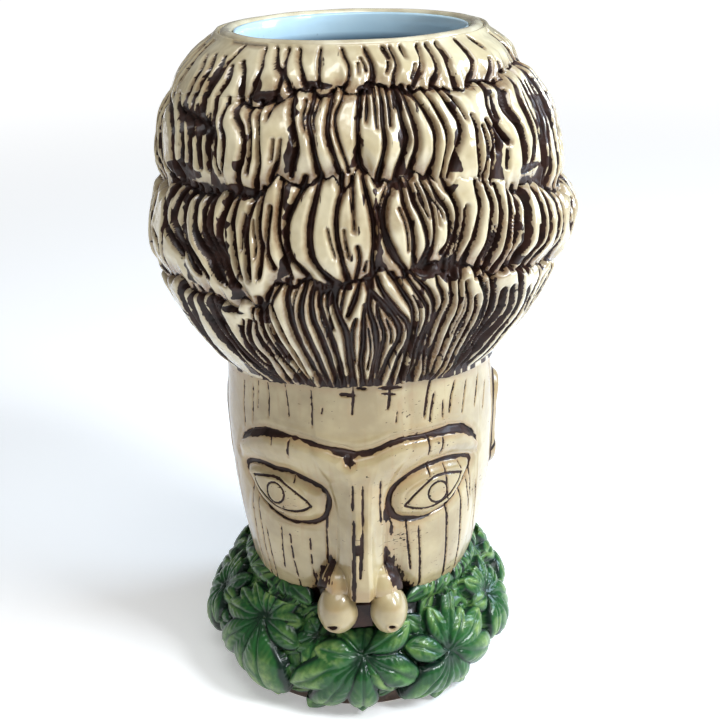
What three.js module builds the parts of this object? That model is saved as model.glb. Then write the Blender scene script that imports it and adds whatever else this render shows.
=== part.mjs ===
// Ceramic tiki mug: a tapered wooden-post face under a round head of tiered hair locks,
// standing in a wreath of palmate leaves, open at the top with a glazed lining.
// Millimetres, +Z up, the face looks along -Y.  Angles are in degrees round +Z,
// 0 at the nose (-Y), growing towards +X.
import * as THREE from 'three';

// ------------------------------------------------------------------ driving dimensions
const GAP = 0.35;            // clearance between neighbouring pieces
const SEG = 32;              // segments round every turned piece
const FOOT_TOP = 5.0;        // thickness of the base slab
const FOOT_R = 37.0;         // radius of the base slab
const FOOT_RECESS_R = 28.0;  // radius of the shallow recess under the base
const FOOT_RECESS_H = 1.4;   // depth of that recess
const WALL = 4.4;            // clay wall thickness of face drum and head
const HAIR_T = 6.0;          // thickness of the hair locks over the head wall
const DRUM_TOP = 93.0;       // joint between face drum and head
const NECK_Z = 172.0;        // joint between head and lip ring
const LIP_TOP = 179.6;       // highest point of the lip
const LIP_IN_R = 29.6;       // mouth radius
const LIP_OUT_R = 33.0;      // outside radius of the lip ring
const LINER_T = 0.8;         // glaze lining thickness
const VALLEY = 2.4;          // depth of the grooves between strands
const STRAND_DEG = 7.5;      // angular pitch of the strands in a lock
const LEAF_T = 3.6;          // greatest thickness of a leaf sprig
const LEAFLETS = 8;          // lobes in one leaf sprig

// radius of the hair surface against height
const HAIR_OUT = [[93, 37.4], [95.5, 38.8], [98, 40.6], [101, 42.6], [105, 45.4], [109, 47.7], [112, 49.4],
  [115.5, 51.2], [119, 53.0], [123, 54.6], [127, 55.4], [131, 55.9], [134.5, 55.8], [138, 55.0], [142, 54.0],
  [146, 53.0], [150, 52.2], [154, 51.3], [158, 50.6], [160.5, 49.8], [162.5, 48.6], [164.5, 46.8], [166.5, 45.6],
  [168.5, 44.6], [170.5, 43.4], [172.5, 41.8], [174.5, 39.6], [176, 37.8], [178, 35.6]];
// radius of the face drum against height
const FACE_OUT = [[0, 27.4], [10, 28], [20, 29], [25, 30], [30, 31.2], [35, 32.4], [40, 33.4], [45, 34.4], [50, 35.1],
  [55, 35.8], [60, 36.3], [66, 36.6], [72, 36.8], [78, 36.9], [85, 36.5], [89, 36.1], [93, 35.8]];
// outside of the earth ring that carries the leaves
const EARTH_OUT = [[5.35, 38.0], [9, 40.2], [13, 40.8], [17, 39.4], [21, 36.8], [25, 34.0], [28.5, 32.0]];

// borders between the hair tiers, height against angle
const EDGE_12 = [[-180, 166.5], [-120, 165.5], [-80, 165.5], [-67, 166.5], [-55, 167.4], [-41, 168.1], [-28, 167.8],
  [-19, 170.3], [-10, 170.6], [0, 169.6], [8, 170.6], [15, 170.8], [24, 169.2], [36, 168.6], [49, 168.9], [63, 171.0],
  [80, 170.4], [120, 168.0], [180, 166.5]];
const EDGE_23 = [[-180, 146], [-120, 144], [-80, 143.5], [-67, 144.5], [-57, 147.8], [-39, 147.3], [-31, 147.4],
  [-25, 149.8], [-18, 152.4], [-7, 153.6], [0, 153.4], [5, 150.8], [14, 151.2], [26, 151.0], [37, 148.0], [44, 146.2],
  [56, 143.2], [72, 140.5], [100, 142], [140, 145], [180, 146]];
const EDGE_34 = [[-180, 124], [-120, 121], [-75, 121.5], [-54, 123.2], [-43, 123.2], [-35, 121.4], [-29, 122.6],
  [-23, 127.0], [-18, 129.8], [-14, 129.7], [-6, 128.6], [0, 129.6], [8, 131.4], [15, 131.2], [22, 128.8],
  [27, 127.4], [35, 127.9], [42, 127.6], [55, 123.4], [80, 121], [130, 122.5], [180, 124]];
const HAIRLINE = [[-180, 93.8], [-90, 94.2], [-72, 94.9], [-54, 94.9], [-23, 96.8], [1, 97.3], [20, 97.1], [42, 95.5],
  [73, 93.9], [180, 93.8]];

// side borders of the locks in each tier: angle at the top edge, angle at the bottom edge
const TIER_2 = [[-100, -96], [-78, -68], [-45, -41], [-17, -17.5], [1.5, -0.2], [13.4, 11.1], [31, 24.5], [45, 38],
  [67, 56], [100, 93], [153, 150], [207, 207]];
const TIER_3 = [[-98, -95], [-76, -72], [-54, -49], [-38, -32], [-19, -19], [3.7, 3.6], [24.4, 22.3], [43.6, 41.6],
  [66, 63], [98, 95], [152, 152], [207, 208]];
const TIER_4 = [[-95, -92], [-68, -68], [-43, -43.6], [-27, -21], [-8.4, -5.3], [14.8, 16.5], [35.6, 43], [64, 66],
  [96, 94], [150, 150], [208, 208]];

// heights of the rings of the cavity, shared by the walls and the lining
const DRUM_RINGS = [FOOT_TOP + GAP, 28, 60, DRUM_TOP];
const HEAD_RINGS = [DRUM_TOP + GAP, 104, 115, 130, 145, 160, NECK_Z];

// ------------------------------------------------------------------ helpers
const rad = (d) => d * Math.PI / 180;
function tab(t, x) {
  if (x <= t[0][0]) return t[0][1];
  for (let i = 1; i < t.length; i++) {
    if (x <= t[i][0]) {
      const [x0, y0] = t[i - 1], [x1, y1] = t[i];
      return y0 + (y1 - y0) * (x - x0) / (x1 - x0);
    }
  }
  return t[t.length - 1][1];
}
const wrap = (p) => ((p + 180) % 360 + 360) % 360 - 180;
const ring = (t, p) => tab(t, wrap(p));
const polar = (r, p, z) => [r * Math.sin(rad(p)), -r * Math.cos(rad(p)), z];

const faceWall = (z) => tab(FACE_OUT, z);
// the head wall follows the hair at a fixed depth and is flush with the drum below the hairline
const headWall = (z) => Math.max(tab(HAIR_OUT, z) - HAIR_T, 35.4);
const cavity = (z) => {
  if (z <= 88) return faceWall(z) - WALL;
  if (z <= 106) { const k = (z - 88) / 18; return (faceWall(88) - WALL) * (1 - k) + (headWall(106) - WALL) * k; }
  if (z <= 160) return headWall(z) - WALL;
  if (z <= NECK_Z) { const k = (z - 160) / (NECK_Z - 160); return (headWall(160) - WALL) * (1 - k) + LIP_IN_R * k; }
  return LIP_IN_R;
};

function solid(pos, idx) {
  const g = new THREE.BufferGeometry();
  g.setAttribute('position', new THREE.Float32BufferAttribute(pos, 3));
  g.setIndex(idx);
  const out = g.toNonIndexed();
  out.computeVertexNormals();
  return out;
}

// closed ring: the profile runs counter-clockwise in (radius, height) seen with the axis on the left
function ringSolid(profile, seg = SEG) {
  const pos = [], idx = [], m = profile(0).length;
  for (let i = 0; i < seg; i++) {
    const p = -180 + 360 * i / seg;
    for (const [r, z] of profile(p)) pos.push(...polar(r, p, z));
  }
  for (let i = 0; i < seg; i++) {
    const a = i * m, b = ((i + 1) % seg) * m;
    for (let j = 0; j < m; j++) {
      const k = (j + 1) % m;
      idx.push(a + j, b + j, b + k, a + j, b + k, a + k);
    }
  }
  return solid(pos, idx);
}

// turned solid that meets the axis at both ends; the profile runs from the lower axis point outwards and up
function turned(profile, seg = SEG) {
  const m = profile.length, pos = [0, 0, profile[0][1], 0, 0, profile[m - 1][1]], idx = [], k = m - 2;
  for (let i = 0; i < seg; i++) {
    const p = -180 + 360 * i / seg;
    for (let j = 1; j < m - 1; j++) pos.push(...polar(profile[j][0], p, profile[j][1]));
  }
  for (let i = 0; i < seg; i++) {
    const a = 2 + i * k, b = 2 + ((i + 1) % seg) * k;
    idx.push(0, b, a);
    for (let j = 0; j < k - 1; j++) idx.push(a + j, b + j, b + j + 1, a + j, b + j + 1, a + j + 1);
    idx.push(1, a + k - 1, b + k - 1);
  }
  return solid(pos, idx);
}

// block bent over a curved wall: at(u, v, w) with u left to right, v bottom to top, w from wall to surface
function bent(nu, nv, at) {
  const g = new THREE.BoxGeometry(1, 1, 1, nu, nv, 1), p = g.attributes.position;
  for (let i = 0; i < p.count; i++) p.setXYZ(i, ...at(p.getX(i) + 0.5, p.getY(i) + 0.5, p.getZ(i) + 0.5));
  g.computeVertexNormals();
  return g;
}

// round pad on a curved wall: outline(a) in millimetres across, top(k, a) is the height over the wall
function pad(seg, topRings, lowRings, place) {
  const pos = [], idx = [];
  const add = (k, a, w) => { pos.push(...place(k, a, w)); return pos.length / 3 - 1; };
  const up = add(0, 0, 1), down = add(0, 0, 0), rows = [];
  const ks = [...topRings.map((k) => [k, 1]), ...lowRings.slice().reverse().map((k) => [k, 0])];
  for (const [k, w] of ks) {
    const row = [];
    for (let i = 0; i < seg; i++) row.push(add(k, 2 * Math.PI * i / seg, w));
    rows.push(row);
  }
  for (let i = 0; i < seg; i++) {
    const n = (i + 1) % seg;
    idx.push(up, rows[0][i], rows[0][n]);
    for (let j = 0; j < rows.length - 1; j++) {
      idx.push(rows[j][i], rows[j + 1][i], rows[j + 1][n], rows[j][i], rows[j + 1][n], rows[j][n]);
    }
    const last = rows[rows.length - 1];
    idx.push(down, last[n], last[i]);
  }
  return solid(pos, idx);
}

const group = new THREE.Group();
group.name = 'tiki_mug';
function put(name, geometry, color, roughness) {
  const mesh = new THREE.Mesh(geometry, new THREE.MeshStandardMaterial({ color, roughness, metalness: 0 }));
  mesh.name = name;
  group.add(mesh);
}
const IVORY = 0xe2d4aa, HAIR = 0xdccd9c, GREEN = 0x3f7a35, EARTH = 0x4a2c1a, BLUE = 0xa9bcc2, CLAY = 0xcdbfa3;

// ------------------------------------------------------------------ body of the mug
put('foot_plate', turned([[0, FOOT_RECESS_H], [FOOT_RECESS_R - 1.2, FOOT_RECESS_H], [FOOT_RECESS_R, 0],
  [FOOT_R - 0.8, 0], [FOOT_R, 0.9], [FOOT_R, FOOT_TOP], [0, FOOT_TOP]]), CLAY, 0.75);

const drumZ0 = FOOT_TOP + GAP;
{
  const outer = [drumZ0, 18, 30, 45, 60, 72, 84, DRUM_TOP].map((z) => [faceWall(z), z]);
  const inner = DRUM_RINGS.slice().reverse().map((z) => [cavity(z), z]);
  put('face_drum', ringSolid(() => [...outer, ...inner]), IVORY, 0.25);
}
{
  const z0 = DRUM_TOP + GAP;
  const outer = [z0, 99, 106, 112, 119, 127, 134.5, 146, 158, 166, NECK_Z].map((z) => [headWall(z), z]);
  const inner = HEAD_RINGS.slice().reverse().map((z) => [cavity(z), z]);
  put('head_wall', ringSolid(() => [...outer, ...inner]), IVORY, 0.3);
}
put('lip_ring', ringSolid(() => [[LIP_IN_R, NECK_Z + GAP], [LIP_OUT_R, NECK_Z + GAP], [LIP_OUT_R, 178.0],
  [LIP_OUT_R - 0.7, 179.2], [LIP_OUT_R - 1.7, LIP_TOP], [LIP_IN_R + 0.5, 179.2], [LIP_IN_R, 178.2]]), IVORY, 0.2);
{
  const zs = [...DRUM_RINGS, ...HEAD_RINGS.slice(1), 177.6];
  const wall = (z, d) => [cavity(z) - d, z];
  const out = zs.map((z) => wall(z, GAP)), inn = zs.slice().reverse().map((z) => wall(z, GAP + LINER_T));
  inn[inn.length - 1][1] += LINER_T;
  put('liner_glaze', turned([[0, FOOT_TOP + GAP], ...out, ...inn, [0, FOOT_TOP + GAP + LINER_T]]), BLUE, 0.15);
}

// ------------------------------------------------------------------ hair
{
  const strands = Math.round(360 / STRAND_DEG / 2);
  const collar = (p) => {
    const z0 = ring(EDGE_12, p) + GAP / 2;
    const groove = Math.abs(Math.cos(rad(p) * strands / 2)) * 1.3;
    const r = (z) => tab(HAIR_OUT, z);
    return [[headWall(z0) + GAP + 0.1, z0], [r(z0) - 1.6, z0], [r(z0 + 1.2) - groove, z0 + 1.2],
      [r((z0 + 175) / 2) - groove, (z0 + 175) / 2], [r(175), 175], [r(177.8), 177.8], [LIP_OUT_R + GAP, 177.8],
      [LIP_OUT_R + GAP, NECK_Z + GAP], [headWall(NECK_Z) + GAP + 0.1, NECK_Z + GAP],
      ...[0.66, 0.33].map((k) => z0 + (NECK_Z - z0) * k).map((z) => [headWall(z) + GAP + 0.2, z])];
  };
  put('hair_collar', ringSolid(collar, 48), HAIR, 0.25);
}

function tier(tag, table, topEdge, lowEdge, swell, foot) {
  const n = table.length;
  table.forEach(([t0, b0], i) => {
    let [t1, b1] = table[(i + 1) % n];
    if (i === n - 1) { t1 += 360; b1 += 360; }
    const strands = Math.max(2, Math.round((t1 - t0) / STRAND_DEG));
    const name = `${tag}_${String(i + 1).padStart(2, '0')}`;
    put(name, bent(strands * 2, 4, (u, v, w) => {
      const left = b0 + (t0 - b0) * v, right = b1 + (t1 - b1) * v;
      const r0 = 50, side = (GAP / 2) / r0 * 180 / Math.PI;
      let p = left + side + (right - left - 2 * side) * u;
      // every lock leans a little and the strands crowd towards its foot
      p += (Math.sin(i * 2.3 + 1) * 1.6) * Math.sin(Math.PI * v) * Math.sin(Math.PI * u);
      const corner = Math.pow(Math.abs(2 * u - 1), 3);
      const za = ring(lowEdge, p) + GAP + 0.8 * corner, zb = ring(topEdge, p) - GAP - 1.8 * corner;
      const z = za + (zb - za) * v;
      if (w < 0.5) return polar(headWall(z) + GAP + 0.2, p, z);
      const valley = Math.pow(Math.abs(Math.cos(Math.PI * u * strands)), 1.5) * VALLEY;
      const ends = Math.pow(Math.abs(2 * v - 1), 6) * (v < 0.5 ? foot : 1.4);
      const body = tab(HAIR_OUT, z) + swell * Math.sin(Math.PI * Math.min(1, v * 1.05));
      return polar(Math.max(body - valley - ends, headWall(z) + GAP + 1.2), p, z);
    }), HAIR, 0.25);
  });
}
tier('lock_upper', TIER_2, EDGE_12, EDGE_23, 0.3, 1.2);
tier('lock_middle', TIER_3, EDGE_23, EDGE_34, 0.3, 1.2);
tier('lock_lower', TIER_4, EDGE_34, HAIRLINE, 0.2, 0.6);

// ------------------------------------------------------------------ face
const BROW_TOP = [[-63.6, 71.5], [-52.8, 77.9], [-44.6, 81.1], [-37.4, 81.3], [-25.4, 80.8], [-12.7, 79.9], [-4, 78.6],
  [1, 79.3], [15.2, 81.1], [28.5, 82.6], [41, 81.1], [49.8, 77.4], [57, 71.6]];
const BROW_LOW = [[-63.6, 70.0], [-51, 71.4], [-33, 72.8], [-22, 71.2], [-14, 68.8], [8, 69.0], [14.7, 71.2], [27.7, 74.0],
  [40.5, 73.6], [57, 70.0]];
put('brow_ridge', bent(20, 2, (u, v, w) => {
  const p = -63 + 119.6 * u, a = tab(BROW_LOW, p), b = tab(BROW_TOP, p), z = a + (b - a) * v;
  const ends = 1 - Math.pow(Math.abs(2 * u - 1), 4);
  return polar(w < 0.5 ? faceWall(z) + GAP : faceWall(z) + GAP + 0.5 + (0.5 + 1.5 * Math.sin(Math.PI * v)) * (0.3 + ends), p, z);
}), IVORY, 0.25);

// almond eyes: half widths in degrees and millimetres, tilted down towards the nose
function eye(name, p0, z0, halfDeg, halfZ, tilt) {
  put(name, pad(20, [0.3, 0.72, 1], [0.6, 1], (k, a, w) => {
    const c = Math.cos(a), s = Math.sin(a);
    const lens = (1 - c * c) * Math.sign(s);
    const p = p0 + halfDeg * k * c, z = z0 + halfZ * k * (Math.abs(s) < 1e-6 ? 0 : lens) + tilt * k * c;
    const h = w ? 0.5 + 1.1 * (k < 0.5 ? 1 : k < 0.9 ? 0.7 : 0) : 0;
    return polar(faceWall(z) + GAP + h, p, z);
  }), IVORY, 0.22);
}
eye('eye_right_side', -38.5, 63.6, 23.0, 6.4, -2.2);
eye('eye_left_side', 31.0, 64.9, 22.0, 6.4, 2.2);

// long straight nose, almost upright in front of the tapering drum, flaring at the wings
const NOSE_TOP = 68.0, NOSE_LOW = 38.3, NOSE_FRONT = [[38, 43.2], [42, 43.8], [50, 42.4], [60, 40.8], [68, 39.8]];
const NOSE_HALF = [[38, 7.6], [42, 6.2], [50, 5.2], [60, 4.6], [68, 4.4]];
put('nose_bridge', bent(4, 6, (u, v, w) => {
  const z = NOSE_LOW + (NOSE_TOP - NOSE_LOW) * v, h = tab(NOSE_HALF, z), x = -0.6 + h * (2 * u - 1) * (w < 0.5 ? 1 : 0.72);
  const back = Math.sqrt(Math.pow(faceWall(z) + GAP + 0.1, 2) - x * x);
  const front = tab(NOSE_FRONT, z) - Math.pow(Math.abs(2 * u - 1), 2) * 2.2;
  return [x, w < 0.5 ? -back : -Math.max(front, back + 0.8), z];
}), IVORY, 0.22);

function nostril(name, x0) {
  const g = new THREE.SphereGeometry(1, 16, 10), p = g.attributes.position;
  for (let i = 0; i < p.count; i++) {
    let x = x0 + 6.1 * p.getX(i), y = -37.4 + 5.6 * p.getZ(i);
    const z = 32.2 + 5.75 * p.getY(i), r = Math.hypot(x, y), least = faceWall(z) + GAP + 0.1;
    if (r < least) { x *= least / r; y *= least / r; }
    p.setXYZ(i, x, -Math.abs(y), z);
  }
  // the mapping swaps two axes, so the faces are turned back to point outwards
  const out = g.toNonIndexed(), q = out.attributes.position;
  for (let i = 0; i < q.count; i += 3) {
    const a = [q.getX(i + 1), q.getY(i + 1), q.getZ(i + 1)], b = [q.getX(i + 2), q.getY(i + 2), q.getZ(i + 2)];
    q.setXYZ(i + 1, ...b); q.setXYZ(i + 2, ...a);
  }
  out.computeVertexNormals();
  put(name, out, IVORY, 0.22);
}
nostril('nostril_right_side', -7.4);
nostril('nostril_left_side', 6.2);

// flat ears low on both sides of the drum, with a hollowed shell
function ear(name, p0) {
  put(name, pad(18, [0.45, 0.8, 1], [0.6, 1], (k, a, w) => {
    const z = 71 + 15.5 * k * Math.sin(a), p = p0 + 12 * k * Math.cos(a) * (1 - 0.18 * Math.sin(a) * -1);
    const h = w ? (k < 0.3 ? 0.9 : k < 0.6 ? 0.9 : k < 0.9 ? 2.0 : 0.5) : 0;
    return polar(faceWall(z) + GAP + h, p, z);
  }), IVORY, 0.25);
}
ear('ear_right_side', -90);
ear('ear_left_side', 90);

// ------------------------------------------------------------------ wreath
{
  const outer = EARTH_OUT.map(([z, r]) => [r, z]);
  const top = 28.5, base = EARTH_OUT[0][0];
  put('earth_ring', ringSolid(() => [[faceWall(base) + GAP, base], ...outer, [faceWall(top) + GAP, top],
    [faceWall(22) + GAP + 0.1, 22], [faceWall(14) + GAP, 14]]), EARTH, 0.6);
}
// arc length down the outside of the earth ring, so the sprigs can lie on it
const SLOPE = (() => {
  const pts = [[30.6, 33.0], ...EARTH_OUT.slice().reverse(), [3.0, 38.3], [0.6, 38.3]];
  let s = 0; const t = [[0, pts[0][0], pts[0][1]]];
  for (let i = 1; i < pts.length; i++) {
    s += Math.hypot(pts[i][0] - pts[i - 1][0], pts[i][1] - pts[i - 1][1]);
    t.push([s, pts[i][0], pts[i][1]]);
  }
  return t;
})();
const slopeZ = (s) => tab(SLOPE.map(([a, z]) => [a, z]), s), slopeR = (s) => tab(SLOPE.map(([a, , r]) => [a, r]), s);
const slopeN = (s) => {
  const d = 1.5, dz = slopeZ(s + d) - slopeZ(s - d), dr = slopeR(s + d) - slopeR(s - d), l = Math.hypot(dz, dr);
  return [-dz / l, dr / l];
};
// angle, arc position of the centre, half width in degrees to each side, length up and down the slope
const SPRIGS = [[-46, 16.0, 15.2, 19.5, 14.4, 15.6], [0, 17.6, 19.5, 18.5, 13.4, 15.0], [38, 17.4, 18.5, 16.2, 14.6, 14.8],
  [72, 15.6, 17, 17.6, 14.2, 16.0], [108, 16.4, 17.6, 17.6, 14.8, 15.6], [144, 16.0, 17.6, 17.6, 14.4, 16.0],
  [180, 16.6, 17.6, 17.6, 14.8, 15.2], [216, 16.2, 17.6, 17.6, 14.5, 15.8], [252, 16.6, 17.6, 15.2, 14.8, 15.2],
  [283, 15.8, 15.2, 15.0, 14.2, 16.0]];
SPRIGS.forEach(([p0, s0, left, right, up, down], i) => {
  put(`leaf_sprig_${String(i + 1).padStart(2, '0')}`, pad(32, [0.6, 1], [0.6, 1], (k, a, w) => {
    const lobe = Math.abs(Math.cos(a * LEAFLETS / 2 + i));
    const reach = k * (0.82 + 0.18 * lobe), c = Math.cos(a), s = Math.sin(a);
    const arc = s0 - (s > 0 ? up : down) * reach * s;
    const p = p0 + (c > 0 ? right : left) * reach * c;
    const rise = w ? 0.7 + (k === 0 ? LEAF_T * 0.55 : k < 0.9 ? LEAF_T * (0.42 + 0.58 * lobe) : 0.2 + 0.9 * lobe) : 0;
    const lift = GAP + 0.25 + (w ? rise : k < 0.9 ? 0.75 : 0.15), [nr, nz] = slopeN(arc);
    let r = slopeR(arc) + nr * lift, z = slopeZ(arc) + nz * lift;
    z = Math.max(z, 0.3);
    const least = z > 27 ? faceWall(z) + GAP + 0.1 : z < 9 ? tab(EARTH_OUT, z) + GAP + 0.3 : 0;
    if (r < least) r = least + (w ? 0.6 : 0);
    return polar(r, p, z);
  }), GREEN, 0.3);
});

export default group;
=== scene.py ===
"""Looks of the ceramic tiki mug: carved face drum, tiered hair locks, wreath of palmate leaves, glazed lining.

Every surface is a relief drawn over the mug's own profile: angle round the axis (degrees, 0 at the nose,
growing to the viewer's right) and height (millimetres).  Strand borders, cracks and leaflets are lists of
lines in those two measures, so each relief is worked out from distances to them.
"""

import bpy
import math
import numpy as np
from mathutils import Matrix, Vector


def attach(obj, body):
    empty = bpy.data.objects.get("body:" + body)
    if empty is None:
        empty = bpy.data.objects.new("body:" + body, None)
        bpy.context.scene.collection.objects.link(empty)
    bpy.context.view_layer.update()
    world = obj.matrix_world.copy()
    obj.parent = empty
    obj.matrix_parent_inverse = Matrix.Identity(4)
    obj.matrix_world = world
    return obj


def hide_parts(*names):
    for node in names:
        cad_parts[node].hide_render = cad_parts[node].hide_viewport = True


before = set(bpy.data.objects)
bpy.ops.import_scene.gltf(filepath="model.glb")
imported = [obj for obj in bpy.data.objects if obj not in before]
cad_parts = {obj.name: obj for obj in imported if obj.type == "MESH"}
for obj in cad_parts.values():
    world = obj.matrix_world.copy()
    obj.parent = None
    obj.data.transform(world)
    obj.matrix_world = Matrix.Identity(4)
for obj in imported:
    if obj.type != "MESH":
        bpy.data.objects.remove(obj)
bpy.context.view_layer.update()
MM = 0.001
K = math.pi / 180.0
GRID = 0.29

# ------------------------------------------------------------------ profiles, height : radius in millimetres
HAIR_OUT = [(93, 37.4), (95.5, 38.8), (98, 40.6), (101, 42.6), (105, 45.4), (109, 47.7), (112, 49.4), (115.5, 51.2),
            (119, 53.0), (123, 54.6), (127, 55.4), (131, 55.9), (134.5, 55.8), (138, 55.0), (142, 54.0), (146, 53.0),
            (150, 52.2), (154, 51.3), (158, 50.6), (160.5, 49.8), (162.5, 48.8), (164.5, 47.4), (166.5, 46.2),
            (168.5, 45.0), (170.5, 43.6), (172.5, 41.9), (174.5, 39.8), (176, 38.0), (178, 35.4), (179.2, 33.5)]
FACE_OUT = [(0, 27.4), (10, 28), (20, 29), (25, 30), (30, 31.2), (35, 32.4), (40, 33.4), (45, 34.4), (50, 35.1),
            (55, 35.8), (60, 36.3), (66, 36.6), (72, 36.9), (78, 37.0), (85, 36.6), (89, 36.3), (93, 36.1), (99, 36.0)]
LEAN = [(0, -2.5), (22, -2.2), (35, -0.7), (60, -0.1), (85, -0.1), (93, -0.3), (105, -0.2), (120, 0.2), (129, 1.0),
        (137, 1.6), (145, 1.4), (152, 0.9), (160, 0.5), (172, 0.1), (180, 0)]
EDGE_12 = [(-180, 166.5), (-120, 165.5), (-80, 165.5), (-67, 166.5), (-55, 167.4), (-41, 168.1), (-28, 167.8),
           (-19, 170.3), (-10, 170.6), (0, 169.6), (8, 170.6), (15, 170.8), (24, 169.2), (36, 168.6), (49, 168.9),
           (63, 171.0), (80, 170.4), (120, 168.0), (180, 166.5)]
EDGE_23 = [(-180, 146), (-120, 144), (-80, 143.5), (-67, 144.5), (-57, 147.8), (-39, 147.3), (-31, 147.4),
           (-25, 149.8), (-18, 152.4), (-7, 153.6), (0, 153.4), (5, 150.8), (14, 151.2), (26, 151.0), (37, 148.0),
           (44, 146.2), (56, 143.2), (72, 140.5), (100, 142), (140, 145), (180, 146)]
EDGE_34 = [(-180, 124), (-120, 121), (-75, 121.5), (-54, 123.2), (-43, 123.2), (-35, 121.4), (-29, 122.6),
           (-23, 127.0), (-18, 129.8), (-14, 129.7), (-6, 128.6), (0, 129.6), (8, 131.4), (15, 131.2), (22, 128.8),
           (27, 127.4), (35, 127.9), (42, 127.6), (55, 123.4), (80, 121), (130, 122.5), (180, 124)]
HAIRLINE = [(-180, 93.8), (-90, 94.2), (-72, 94.9), (-54, 94.9), (-23, 96.8), (1, 97.3), (20, 97.1), (42, 95.5),
            (73, 93.9), (180, 93.8)]
TIER_2 = [(-100, -96), (-78, -68), (-45, -41), (-17, -17.5), (1.5, -0.2), (13.4, 11.1), (31, 24.5), (45, 38),
          (67, 56), (100, 93), (153, 150), (207, 207)]
TIER_3 = [(-98, -95), (-76, -72), (-54, -49), (-38, -32), (-19, -19), (3.7, 3.6), (24.4, 22.3), (43.6, 41.6),
          (66, 63), (98, 95), (152, 152), (207, 208)]
TIER_4 = [(-95, -92), (-68, -68), (-43, -43.6), (-27, -21), (-8.4, -5.3), (14.8, 16.5), (35.6, 43), (64, 66),
          (96, 94), (150, 150), (208, 208)]

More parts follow.
